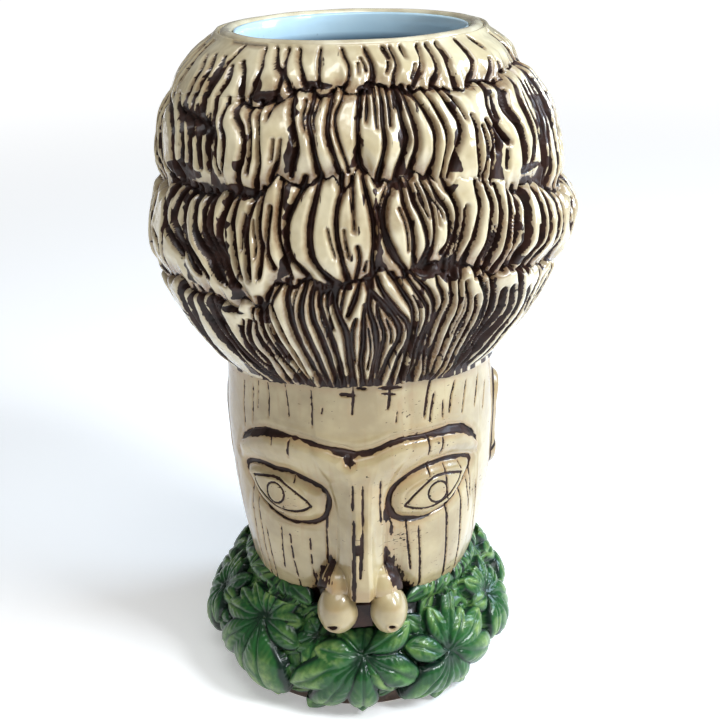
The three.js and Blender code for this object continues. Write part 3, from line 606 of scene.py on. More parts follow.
# ------------------------------------------------------------------ hair relief
def curve(points, n=13):
    """Smooth curve through points of angle and height, from the top down."""
    a = np.array(points, float)
    d = np.hypot(np.diff(a[:, 0]) * K * 50, np.diff(a[:, 1]))
    s = np.concatenate([[0], np.cumsum(np.maximum(d, 0.05))])
    slope = np.gradient(a, s, axis=0)
    t = np.linspace(0, s[-1], n)
    i = np.clip(np.searchsorted(s, t, side="right") - 1, 0, len(s) - 2)
    h = (s[i + 1] - s[i])[:, None]
    u = (t - s[i])[:, None] / h
    return ((2 * u ** 3 - 3 * u ** 2 + 1) * a[i] + (u ** 3 - 2 * u ** 2 + u) * h * slope[i]
            + (3 * u ** 2 - 2 * u ** 3) * a[i + 1] + (u ** 3 - u ** 2) * h * slope[i + 1])


def bent(p0, z0, p1, z1, bow):
    """Curve from one point to another with a sideways bow in millimetres."""
    t = np.linspace(0, 1, 9)
    z = z0 + (z1 - z0) * t
    return np.stack([p0 + (p1 - p0) * t + 4 * t * (1 - t) * bow / (K * hair_radius(z)), z], -1)


def arc_lines(rows):
    out = []
    for pts, w in rows:
        t = np.linspace(0, 1, len(pts))
        width = w * (0.3 + 0.7 * np.sin(np.pi * np.clip(0.1 + 0.72 * t, 0, 1)) ** 0.7)
        out.append(np.column_stack([pts, width]))
    return out


def companions(rows, rng):
    """Finer cuts beside the main grooves, following them part of the way."""
    out = []
    for pts, w in rows:
        if pts[0, 1] - pts[-1, 1] < 7:
            continue
        for side in (-1, 1):
            if rng.random() < 0.8:
                continue
            gap = side * rng.uniform(1.25, 1.9)
            n = len(pts)
            a = int(n * rng.uniform(0.0, 0.5))
            b = min(n, a + max(3, int(n * rng.uniform(0.3, 0.65))))
            part = pts[a:b].copy()
            if len(part) < 3:
                continue
            part[:, 0] += gap * np.linspace(1.0, rng.uniform(0.7, 1.1), len(part)) / (K * hair_radius(part[:, 1]))
            out.append((part, rng.choice([0.28, 0.36])))
    return out


TIERS = ((None, EDGE_12), (EDGE_12, EDGE_23), (EDGE_23, EDGE_34), (EDGE_34, HAIRLINE))


def tidy(rows, rng):
    """Runs the listed grooves out to the tier edges and fills wide gaps with finer grooves between them."""
    tiers = [[], [], [], []]
    for w, points in rows:
        c = curve(points)
        p, z = c[len(c) // 2]
        number = int(z < tab(EDGE_12, p)) + int(z < tab(EDGE_23, p)) + int(z < tab(EDGE_34, p))
        top, low = TIERS[number]
        hi = tab(top, c[:, 0]) if top else 0 * c[:, 0] + 178.9
        lo = tab(low, c[:, 0])
        ok = np.flatnonzero((c[:, 1] < hi - 0.1) & (c[:, 1] > lo + 0.1))
        if len(ok) < 3:
            continue
        c, hi, lo = c[ok[0]:ok[-1] + 1], hi[ok[0]:ok[-1] + 1], lo[ok[0]:ok[-1] + 1]
        near = (3.0, 4.0, 4.0, 4.0)[number]
        if 0.4 < hi[0] - c[0, 1] < near:
            lean = np.clip((c[0, 0] - c[2, 0]) / max(c[0, 1] - c[2, 1], 0.8), -2, 2)
            rise = hi[0] - 0.2 - c[0, 1]
            c = np.vstack([[c[0, 0] + 0.6 * lean * rise, c[0, 1] + rise], c])
        if 0.4 < c[-1, 1] - lo[-1] < (3.0, 4.5, 4.5, 8.0)[number]:
            lean = np.clip((c[-1, 0] - c[-3, 0]) / max(c[-3, 1] - c[-1, 1], 0.8), -2, 2)
            fall = c[-1, 1] - lo[-1] - 0.3
            c = np.vstack([c, [c[-1, 0] + 0.6 * lean * fall, c[-1, 1] - fall]])
        tiers[number].append((c, w * ((0.5, 0.5, 0.68, 0.84)[number] + (0.4, 0.6, 0.5, 0.6)[number] * smooth(28, 48, abs(p)))))
    out = []
    for number, picked in enumerate(tiers):
        top, low = TIERS[number]
        every = np.vstack([c for c, _ in picked])
        tall = []
        for c, w in picked:
            hi = float(tab(top, c[0, 0])) if top else 178.0
            if c[0, 1] - c[-1, 1] > 0.6 * (hi - float(tab(low, c[-1, 0]))):
                tall.append(c)
        tall.sort(key=lambda c: c[len(c) // 2, 0])
        out += picked
        for g, h in zip(tall[:-1], tall[1:]):
            z = np.linspace(min(g[0, 1], h[0, 1]), max(g[-1, 1], h[-1, 1]), 13)
            a = np.interp(z, g[::-1, 1], g[::-1, 0])
            b = np.interp(z, h[::-1, 1], h[::-1, 0])
            gap = (b - a) * K * hair_radius(z)
            extra = int(round(np.percentile(gap, 70) / (5.2 if number < 3 else 6.0))) - 1
            for m in range(1, extra + 1):
                f = m / (extra + 1) + rng.uniform(-0.06, 0.06)
                c = np.stack([a + (b - a) * f, z], -1)
                far = np.array([np.min(np.hypot((every[:, 0] - x) * K * 50, every[:, 1] - y)) for x, y in c])
                good = (far > 1.8) & (gap / (extra + 1) > 1.6)
                best, run = (0, 0), 0
                for i, flag in enumerate(list(good) + [False]):
                    if flag:
                        run += 1
                    else:
                        if run > best[1] - best[0]:
                            best = (i - run, i)
                        run = 0
                if best[1] - best[0] >= 4:
                    out.append((c[best[0]:best[1]], rng.uniform(0.3, 0.75)))
    return out


def strand_rows():
    """Grooves of the front as listed, and grooves of the same kind over the sides and back."""
    listed = []
    for text in STRANDS.replace("\n", ";").split(";"):
        words = text.split()
        if len(words) > 2:
            listed.append((float(words[0]), [tuple(float(v) for v in word.split(",")) for word in words[1:]]))
    rows = tidy(listed, np.random.default_rng(12))
    rng = np.random.default_rng(31)
    mid = np.vstack([c for c, _ in rows])

    def add(p0, z0, p1, z1, bow, w, clear):
        c = bent(p0, z0, p1, z1, bow)
        if clear > 0:
            gap = [np.min(np.hypot((wrap(mid[:, 0] - a)) * K * hair_radius(b), mid[:, 1] - b)) for a, b in c]
            if np.mean(gap) < clear or np.min(gap) < 0.5 * clear:
                return
        rows.append((c, w))

    for k, (table, hi, lo) in enumerate(((TIER_2, EDGE_12, EDGE_23), (TIER_3, EDGE_23, EDGE_34), (TIER_4, EDGE_34, HAIRLINE))):
        n = len(table)
        for i in range(n):
            (t0, b0), (t1, b1) = table[i], table[(i + 1) % n]
            if i == n - 1:
                t1, b1 = t1 + 360, b1 + 360
            bundles = max(1, round((t1 - t0) / 25.0))
            for m in range(bundles):
                ta, tb = t0 + (t1 - t0) * m / bundles, t0 + (t1 - t0) * (m + 1) / bundles
                ba, bb = b0 + (b1 - b0) * m / bundles, b0 + (b1 - b0) * (m + 1) / bundles
                centre = 0.5 * (ta + tb)
                lean = rng.uniform(-2.5, 2.5)
                swing = rng.uniform(-2.2, 2.2)
                strands = max(3, int(round((tb - ta) / 3.9)))
                for j in range(strands + 1):
                    u = j / strands
                    edge = j in (0, strands)
                    ju = 0 if edge else rng.uniform(-0.3, 0.3) / strands
                    jb = 0 if edge else rng.uniform(-0.35, 0.35) / strands
                    pa = ta + (tb - ta) * (u + ju)
                    fan = 0.5 + (u - 0.5) * rng.uniform(0.72, 0.98)
                    pb = ba + (bb - ba) * (fan + jb) + (0 if edge else lean)
                    top = float(tab(hi, wrap(pa)))
                    low = float(tab(lo, wrap(pb)))
                    full = rng.random()
                    a = 0.02 if edge or full < 0.7 else rng.uniform(0.15, 0.55)
                    b = 0.97 if edge or full < 0.8 else rng.uniform(0.55, 0.85)
                    z0, z1 = top + (low - top) * a, top + (low - top) * b
                    w = rng.uniform(0.9, 1.3) if edge else rng.choice([0.4, 0.6, 0.9, 1.2])
                    bow = swing * (1.0 if not edge else 0.5) + rng.uniform(-0.6, 0.6)
                    front = abs(wrap(centre)) < 58
                    if front and edge:
                        continue
                    add(pa, z0, pb, z1, bow, w * 1.6, 3.6 if front else (1.9 if abs(wrap(centre)) < 78 else 0))
    p = -180.0
    while p < 180:
        if abs(p) > 70:
            low = float(tab(EDGE_12, p))
            rows.append((bent(p, rng.uniform(174.5, 178.4), p + rng.uniform(-3.5, 3.5), low - 0.5, rng.uniform(-0.8, 0.8)), rng.choice([0.6, 0.9, 1.2])))
        p += rng.uniform(5.0, 7.6)
    return rows + companions(rows, rng)


STRAND_FIELD = Lines(arc_lines(strand_rows()), taper=False, level=arc)


def recentre(p):
    return (p + 180.0) % 360.0 - 180.0


def jagged(table, q, size, seed):
    """Tier edge broken up strand by strand."""
    a = recentre(q)
    n = lambda step, k: noise(np.stack([a / step, 0 * a + seed, 0 * a], -1), 1.0, k)
    return tab(table, a) + size * (1.0 * n(4.4, 61) + 0.5 * n(2.1, 62) + 0.6 * n(12.0, 63))


def hair_field(q, z, side=None, window=None, low_side=None):
    """Radius, stain and warm wash of the hair at angle q and height z; side is the distance to the lock's border. The
    dark mask also holds painted shade at the tier edges, between locks and on the sides.
    """
    q = q - 360.0 * np.round(float(np.mean(q)) / 360.0)
    s, r0 = arc(z), hair_radius(z)
    e = STRAND_FIELD.edge(q, s, r0)
    P = polar(r0, q, z)
    n1, n2, n3 = noise(P, 1.1, 5), noise(P, 3.2, 9), noise(P, 9.0, 14)
    edges = [arc(np.full_like(q, 186.0)), arc(jagged(EDGE_12, q, 1.2, 3)), arc(jagged(EDGE_23, q, 2.3, 7)), arc(jagged(EDGE_34, q, 2.3, 11)),
             arc(jagged(HAIRLINE, q, 0.25, 15))]
    tier = np.zeros(q.shape, int) + (s < edges[1]) + (s < edges[2]) + (s < edges[3])
    top = np.choose(tier, edges[:4])
    low = np.choose(tier, edges[1:])
    foot = np.where(tier == 3, 0.3, np.where(tier == 0, 0.75, 1.0))
    e = e + 0.1 * n2
    dt = top - s - 0.9 * np.exp(-((np.maximum(e, 0) / 0.9) ** 2))
    db = s - low
    # where long locks run on through a tier edge the step fades out
    a = recentre(q)
    run_12 = smooth(-36, -43, a) * smooth(-96, -84, a)
    run_23 = 0.7 * smooth(19, 24, a) * (1 - smooth(38, 44, a))
    dt = dt + 6 * np.where(tier == 1, run_12, np.where(tier == 2, run_23, 0))
    db = db + 6 * np.where(tier == 0, run_12, np.where(tier == 1, run_23, 0))
    ridge = np.sqrt(np.clip(1 - (1 - np.clip(e / 1.1, 0, 1)) ** 2, 0, 1))
    groove = smooth(0.15, -0.6, e)
    knuckle = np.sqrt(np.clip(1 - (1 - np.clip(dt / 2.8, 0, 1)) ** 2, 0, 1))
    dip = 1 - smooth(0, 7.0, db)
    height = (2.1 + 0.4 * n3) * ridge * (0.3 + 0.7 * knuckle) * (1 - 0.25 * dip)
    r = r0 - 3.0 + height - 0.7 * groove - 1.4 * (1 - knuckle) - 1.1 * foot * dip
    r = r + 0.8 * np.sin(np.pi * np.clip(db / np.maximum(db + np.maximum(dt, 0), 1e-3), 0, 1)) + 0.3 * n3 + 0.07 * n1
    away = np.abs(recentre(q))
    # the sides, the left more than the right, get wider dark grooves: painted shade on the sides turned from the light
    flank = smooth(22, 48, away) * np.where(tier == 3, np.where(recentre(q) < 0, 0.66, 0.46), np.where(tier == 0, 0.26, 0.37))
    stain = smooth(0.18, -0.12, e - flank + (0.08 + 0.3 * flank) * n1)
    # just below each tier's top edge, under the tier above, the hair turns dark: stain with painted shadow
    stain = np.maximum(stain, smooth(0.4, 0.0, dt + 0.35 * n1))
    # a dark band along the foot of each tier where the lock dips in, wider at both sides of the upper locks: stain with
    # painted shade
    band = 0.3 + 0.3 * (tier != 1) + 3.6 * smooth(-72, -62, q) * (1 - smooth(-40, -27, q)) * (tier == 1) + 2.6 * smooth(43, 48, q) * (1 - smooth(57, 62, q)) * (tier == 1)
    stain = np.maximum(stain, foot * smooth(1.15, 0.0, (db + 0.7 * n2 + 0.4 * n1) / band))
    # the hollows turn dark, stain with painted shade, and dent in a little
    pit = np.full(q.shape, 9.0)
    for pc, zc, half, tall in HOLLOWS:
        pit = np.minimum(pit, np.hypot((q - pc) * K * r0 / half, (z - zc) / tall))
    pit = pit + 0.28 * n2 + 0.16 * n1
    stain = np.maximum(stain, smooth(1.12, 0.86, pit))
    r = r - 0.4 * smooth(1.25, 0.6, pit)
    # lower parts of the grooves and the corners between locks are darker: stain with painted shade
    stain = np.maximum(stain, smooth(0.6, 0.15, e + 0.15 * n1) * (1 - smooth(1.0, 6.0, db + 1.5 * n2)))
    if side is not None:
        r = r + window * (1.0 * (1 - np.exp(-((side / 3.4) ** 2))) - 0.75)
        # a dark strip along each lock's sides, widening towards its foot: stain with painted shade in the corners
        # between locks
        hollow = side - 2.7 * np.exp(-low_side / 3.2) - 0.5
        stain = np.maximum(stain, smooth(0.4, -0.4, hollow + 0.6 * n1 + 0.5 * n2) * smooth(0, 0.6, window))
    k = K * r0
    streak = noise(np.stack([q * k / 0.5, s / 6.5, 0 * q], -1), 1.0, 21)
    stain = np.maximum(stain, 0.8 * smooth(0.66, 0.85, streak) * smooth(1.9, 0.5, e))
    warm = 0.8 * smooth(0.95, 0.1, e + 0.25 * n2) + 0.9 * foot * (1 - smooth(0, 5.5, db + n2)) + 0.35 * smooth(0.1, 0.7, n3 + 0.4 * n2)
    warm = warm + 0.5 * smooth(2.6, 0.6, dt + n1)
    return r, stain, np.clip(warm, 0, 1)


def hair_height(s):
    return np.interp(s, ARC_S, ARC_Z)


def build_lock(name, left, right, top, low, foot):
    (t0, b0), (t1, b1) = left, right
    mid = 0.5 * (t0 + t1)
    grid = GRID if abs(recentre(mid)) < 85 else GRID * 1.6
    span = max(t1 - t0, b1 - b0) * K * 53
    rise = float(arc(tab(top, wrap(mid))) - arc(tab(low, wrap(mid))))
    cols, rows = count(span, grid), count(rise, grid)
    u = np.linspace(0, 1, cols)[None, :]
    v = np.linspace(0, 1, rows)[:, None]
    a = b0 + (t0 - b0) * v
    b = b1 + (t1 - b1) * v
    p = a + (b - a) * u
    zt, zl = tab(top, wrap(p)), tab(low, wrap(p))
    z = hair_height(arc(zl) + (arc(zt) - arc(zl)) * v)
    width = (b - a) * K * hair_radius(z)
    side = np.minimum(u, 1 - u) * width
    ds = arc(z) - arc(zl)
    window = smooth(0.0, 3.5, ds) * smooth(0.0, 3.5, arc(zt) - arc(z))
    r, stain, warm = hair_field(p, z, side, window, ds)
    wall = np.maximum(tab(HAIR_OUT, z) - 5.4, 36.5)
    r = np.maximum(r, wall + 0.9)
    closed_patch("glazed_" + name, polar(r, p, z), polar(wall, p, z), {"stain": stain, "warm": warm},
                 HAIR_MAT, name)


for tag, table, top, low, foot in (("lock_upper", TIER_2, EDGE_12, EDGE_23, 1.0), ("lock_middle", TIER_3, EDGE_23, EDGE_34, 1.0),
                                   ("lock_lower", TIER_4, EDGE_34, HAIRLINE, 0.35)):
    for i in range(len(table)):
        left, right = table[i], table[(i + 1) % len(table)]
        if i == len(table) - 1:
            right = (right[0] + 360, right[1] + 360)
        build_lock("%s_%02d" % (tag, i + 1), left, right, top, low, foot)

# collar of hair under the lip, one ring
cols = int(2 * math.pi * 44 / (GRID * 1.25))
p = (np.arange(cols) * 360.0 / cols - 180.0)[None, :]
z_low = tab(EDGE_12, p)
n_rows = int(15.0 / (GRID * 1.1))
v = np.linspace(0, 1, n_rows)[:, None]
s = arc(z_low) + (arc(179.1) - arc(z_low)) * v
z = hair_height(s)
pp = p + 0 * v
r_low, stain, warm = hair_field(pp, z)
crown = smooth(177.4, 178.9, z)
P = polar(hair_radius(z), pp, z)
r_top = r_low * (1 - crown) + (hair_radius(z) - 0.3 + 0.25 * noise(P, 6.0, 3)) * crown
outer = polar(r_top, pp, z)
inner = [polar(33.15 + 0 * p, p, 178.9 + 0 * p), polar(33.15 + 0 * p, p, 172.6 + 0 * p), polar(36.3 + 0 * p, p, 172.4 + 0 * p)]
for t in (0.66, 0.33, 0.0):
    zz = z_low + (172.0 - z_low) * t
    inner.append(polar(tab(HAIR_OUT, zz) - 5.4, p, zz))
rings = np.concatenate([outer, np.stack([i.reshape(-1, 3) for i in inner])], 0)
extra = np.zeros((len(inner), cols))
closed_ring("glazed_hair_collar", rings, {"stain": np.vstack([stain * (1 - crown), extra]), "warm": np.vstack([np.clip(warm * (1 - 0.6 * crown), 0, 1), extra])},
            HAIR_MAT, "hair_collar")

# ------------------------------------------------------------------ face relief
BROW_LINE = [(-66, 67), (-64.4, 69.7), (-59.1, 75.4), (-52, 78.4), (-42.8, 80.8), (-36, 81.2), (-27.5, 81.3), (-19.7, 80.5),
             (-11.2, 79.6), (-6.8, 79.0), (-2.6, 78.1), (4.1, 79.1), (11.5, 80.9), (16, 81.4), (30, 81.2), (37.6, 80.9),
             (44.9, 79.6), (51.4, 76.7), (55.7, 73.5), (57.8, 70.2), (60, 67)]
BROW_LOW = [(-63.6, 67.8), (-51, 71.4), (-33, 72.4), (-22, 71.2), (-14, 68.8), (8, 69.0), (14.7, 71.2), (27.7, 74.0),
            (40.5, 73.2), (57, 69.0)]
JAW = [(-180, 24), (-110, 25), (-75, 27), (-57.9, 28.3), (-47.5, 27), (-38.2, 27.9), (-31.5, 28.6), (-25.9, 32.6),
       (-21, 36.3), (-17.6, 38.9), (-12, 40.5), (-6, 40), (0, 39), (7, 38.5), (13, 37.8), (20.2, 34.9), (27.5, 29.4), (35.4, 25.7),
       (48.3, 24.4), (63.7, 24.6), (73.6, 26.5), (110, 25), (180, 24)]
NOSE_FRONT = [(28, 40.5), (35, 42.4), (38, 43.3), (42, 43.5), (50, 42.4), (60, 41.0), (68, 40.0), (72, 39.2), (76, 38.2),
              (80, 37.2), (84, 36.6)]
# half width of the flat bridge and the reach of its flanks to either side, millimetres
NOSE_FLAT = [(34, 2.8), (42, 2.7), (50, 2.2), (60, 2.2), (70, 2.8), (78, 5.0)]
NOSE_LEFT = [(34, 6.2), (40, 6.0), (46, 5.2), (60, 5.0), (70, 6.5), (78, 8.5)]
NOSE_RIGHT = [(34, 4.8), (40, 4.6), (46, 4.4), (60, 4.4), (70, 6.5), (78, 8.5)]


def path(text, width=None):
    """'w: angle,height angle,height ...' on each line, its width before the colon; the width argument is not used."""
    out = []
    for line in text.strip().splitlines():
        w, pts = line.split(":")
        out.append([(float(a), float(b), float(w)) for a, b in (t.split(",") for t in pts.split())])
    return out


CRACKS = path("""
.35: -56.4,92.1 -57.8,85 -57.1,78.9
.4: -49.7,92.3 -50.6,86.6 -50.8,81.2
.3: -46.1,94.1 -47.4,86.1
.5: -40.7,94.4 -40.3,90.2 -40.9,84.8
.4: -31.7,95.6 -30.8,91 -30.3,86.5
.5: -19.7,94.7 -19.6,90 -19.9,84.9
.3: -15,90.8 -15.4,88.9
.8: -2.6,96.8 -2.7,93.2 -3.4,89
.9: 12,96.2 11.6,93.1 10.8,90
.5: 14.5,88.9 13.8,86.1
1.0: 29.8,95.9 27.7,90.9 26,85.8
.9: 31.4,92 29.6,87.9 28.5,84.5
.5: 35.5,89.1 34.6,84.6
.7: 42.6,93.2 39.8,89.4 38.3,85.3
.6: 49.8,91.8 45.8,83.7
.5: 59.6,91.2 54.9,83.3
.4: 66.2,87.9 62,80.9
1.6: -8,94.6 -2,94.2
1.0: -1.4,96.2 2.6,95.9
1.4: 7.3,95.9 16.6,95.3
.9: 8.3,94.3 13.8,93.7
.6: -29.4,81.1 -30,75.7
.8: 26.3,81.1 27,75.6
.7: 32.8,79.7 32.7,74.6
.3: -37.9,80.4 -37.5,78.2
.5: -29.6,69.8 -29.3,67.8
.5: 27.3,72.1 28,69
.5: 35.2,71.1 35.9,61.3
.3: 43.8,70 44.5,67.8
.3: 51.6,69.5 54,56.4
.35: -56.5,63.9 -56.1,55.2 -57,33.7
.4: -51.4,59.1 -50.7,37.7 -51.8,31.7
.5: -47.6,50.3 -46.7,41 -47.5,27
.5: -37.7,53.8 -39.2,39
.8: -33.4,51.3 -33.3,48.4
.8: -33.3,47.4 -33.2,43.2
.7: -33.1,42.2 -32.4,36.6
.8: -32.3,35.8 -31.8,32
.7: -31.7,31 -31.4,29
.6: -23.7,51.3 -23.9,47
.6: -23.9,46 -23.9,42.4
.5: -23.8,41.4 -23.3,34.9
.8: -16,56.5 -16.3,43.3
.7: 17.8,56.9 19.1,50.4 21.8,40.3
.8: 23.5,54.4 25.5,45.3 28.3,31.8
.9: 36.2,61.2 38.3,53.1 40.2,41.8 44,26.4
.7: 44.8,62.8 47.4,50.6 50,40.3 52.7,28.2
.4: 49.8,65.1 52.9,52.2
.4: 57.3,60.5 63.1,45.6 73.8,32.6
.8: -3.9,70.4 -4.1,63.4
.7: -.2,70.3 -.6,57.9
1.2: -3.8,60.6 -3.7,54.7 -3.6,48.2 -3.5,37.5
1.2: -.6,57.9 -1.4,45.4
2.6: -2.2,53.9 -2.1,52.2
.6: 6.8,70.8 6.4,63.2 6.8,58
.6: 9.6,60.9 11.2,57
""")
rng = np.random.default_rng(8)
for q in np.arange(76, 290, 7.5):
    q = float(q + rng.uniform(-2.6, 2.6))
    hi = rng.uniform(62, 92)
    lo = max(28.0, hi - rng.uniform(14, 42))
    bend = rng.uniform(-1.2, 1.2)
    CRACKS.append([(q, hi, 0.5), (q + bend, 0.5 * (hi + lo), rng.uniform(0.4, 0.8)), (q + 0.6 * bend, lo, 0.5)])
    if rng.random() < 0.5:
        CRACKS.append([(q + 3.4, lo - 3, 0.4), (q + 3.1, max(lo - 16, 27), 0.5)])

BROW_CUT = [[(-64.4, 69.7, 0.8), (-59.1, 75.4, 1.5), (-52, 78.4, 1.7), (-42.8, 80.8, 1.6), (-36, 81.2, 1.0), (-31, 81.3, 0.5)],
            [(-33, 81.2, 0.5), (-27.5, 81.3, 0.4), (-19.7, 80.5, 0.5), (-11.2, 79.6, 0.7)],
            [(-12.4, 79.6, 0.6), (-10.4, 79.3, 1.3), (-6.8, 79, 1.3), (-2.6, 78.5, 0.8)],
            [(-3.2, 78.4, 0.8), (4.1, 79.1, 0.7), (11.5, 80.9, 0.7), (16, 81.4, 0.7), (25, 81.2, 0.7), (30.6, 81.2, 1.0)],
            [(29, 81.2, 0.9), (37.6, 80.9, 1.8), (44.9, 79.6, 2.0), (51.4, 76.7, 1.9), (55.7, 73.5, 1.6), (57.8, 70.2, 0.6)],
            [(-5.6, 77.9, 1.6), (-5.6, 76.6, 1.2)]]


def closed_line(text, widths):
    pts = [tuple(float(c) for c in t.split(",")) for t in text.split()]
    pts.append(pts[0])
    return [(a, b, widths(a, b)) for a, b in pts]


EYE_L = closed_line("-60.9,67.3 -51.1,69.7 -44.4,70.3 -38.7,70 -32.5,70.5 -26.8,69.7 -21.6,68.5 -16.5,67.1 -14.6,64.6 "
                    "-14.6,61.9 -15.9,59.2 -19,57.3 -22.7,56.3 -27.4,55.9 -32.4,55.5 -36.5,56 -42.1,57 -46.8,58.4 "
                    "-51.8,60.2 -56.1,62.2 -59.4,64.4", lambda a, b: 1.1 if b > 66 else (1.2 if a > -24 else 0.6))
EYE_R = closed_line("52.9,69.2 44.3,71.1 37.3,72.2 33,72.2 27.3,72.1 21.9,71.2 16.8,69.5 13.1,67.8 10.7,65.3 10.1,62.4 "
                    "11.6,59.5 14.6,57.8 20,57.1 25.5,56.6 31.4,57.3 37.6,58.4 43.1,60.8 48.1,63.1 53.2,67.2",
                    lambda a, b: 1.0 if b > 66 else (1.5 if a < 24 else 0.5))
ALMOND_L = closed_line("-52,65.8 -44.9,67.5 -36.8,68.3 -30.9,66.6 -25.5,64.4 -21.7,61.9 -24.9,60.5 -29.8,59.5 -35.8,59.6 "
                       "-40.1,60.6 -44.6,62 -48.4,63", lambda a, b: 0.55)
ALMOND_R = closed_line("44.9,66.7 35.4,68.7 29.4,68.7 23.9,66.7 19.6,64.3 16.6,62 20.6,60.9 26.1,60.2 32,60.9 37.1,62.2 "
                       "41.5,64.2", lambda a, b: 0.55)
PUPILS = ((-37.9, 63.9), (31.2, 64.2))
IRIS = []
for a, b in PUPILS:
    IRIS.append([(a + 2.9 / (K * 36.6) * math.cos(t), b + 2.9 * math.sin(t), 0.5) for t in np.linspace(0, 2 * math.pi, 17)])
def rounded(line, keep=()):
    """Corners of a closed outline cut back twice, except the listed ones."""
    a = np.array(line, float)[:-1]
    hold = np.zeros(len(a), bool)
    for k in keep:
        hold[k] = True
    for _ in range(2):
        out, flags = [], []
        n = len(a)
        for i in range(n):
            b, c = a[i], a[(i + 1) % n]
            if hold[i]:
                out.append(b)
                flags.append(True)
            else:
                out.append(0.75 * b + 0.25 * c)
                flags.append(False)
            if not hold[(i + 1) % n]:
                out.append(0.25 * b + 0.75 * c)
                flags.append(False)
        a, hold = np.array(out), np.array(flags)
    return [tuple(v) for v in a] + [tuple(a[0])]


def corners(line):
    angles = [v[0] for v in line[:-1]]
    return angles.index(min(angles)), angles.index(max(angles))


EYE_L, EYE_R = rounded(EYE_L), rounded(EYE_R)
ALMOND_L, ALMOND_R = rounded(ALMOND_L, corners(ALMOND_L)), rounded(ALMOND_R, corners(ALMOND_R))
DEEP_LINES = Lines(BROW_CUT + [EYE_L, EYE_R], taper=False)
FINE_LINES = Lines([[(a, b, 0.62 * w) for a, b, w in line] for line in CRACKS])
THIN_LINES = Lines([ALMOND_L, ALMOND_R] + IRIS, taper=False)
# feathery stains: angle, height, half width, half height
SMEARS = [(-14.2, 44.2, 1.5, 3.6), (-16.6, 40.2, 2.1, 3.2), (-18.6, 38.0, 2.3, 3.2), (-20.8, 34.2, 2.6, 3.0), (-26.0, 30.4, 3.4, 2.4), (9.8, 46.4, 1.0, 3.4),
          (12.0, 43.2, 1.5, 3.4), (14.8, 40.0, 1.7, 3.0), (17.4, 37.0, 1.9, 3.0), (21.6, 32.6, 2.4, 2.6), (29.0, 28.6, 3.6, 2.0), (9.4, 59.6, 0.9, 2.4),
          (11.4, 55.0, 0.7, 2.2), (-4.6, 76.6, 1.4, 1.4), (-15.6, 57.0, 0.5, 2.4)]


def inside(ring, p, z):
    """1 inside the closed outline, 0 outside."""
    hit = np.zeros(p.shape, bool)
    pts = [(a, b) for a, b, _ in ring]
    for (x0, y0), (x1, y1) in zip(pts[:-1], pts[1:]):
        if y0 == y1:
            continue
        cross = (y0 > z) != (y1 > z)
        hit ^= cross & (p < x0 + (x1 - x0) * (z - y0) / (y1 - y0))
    return hit


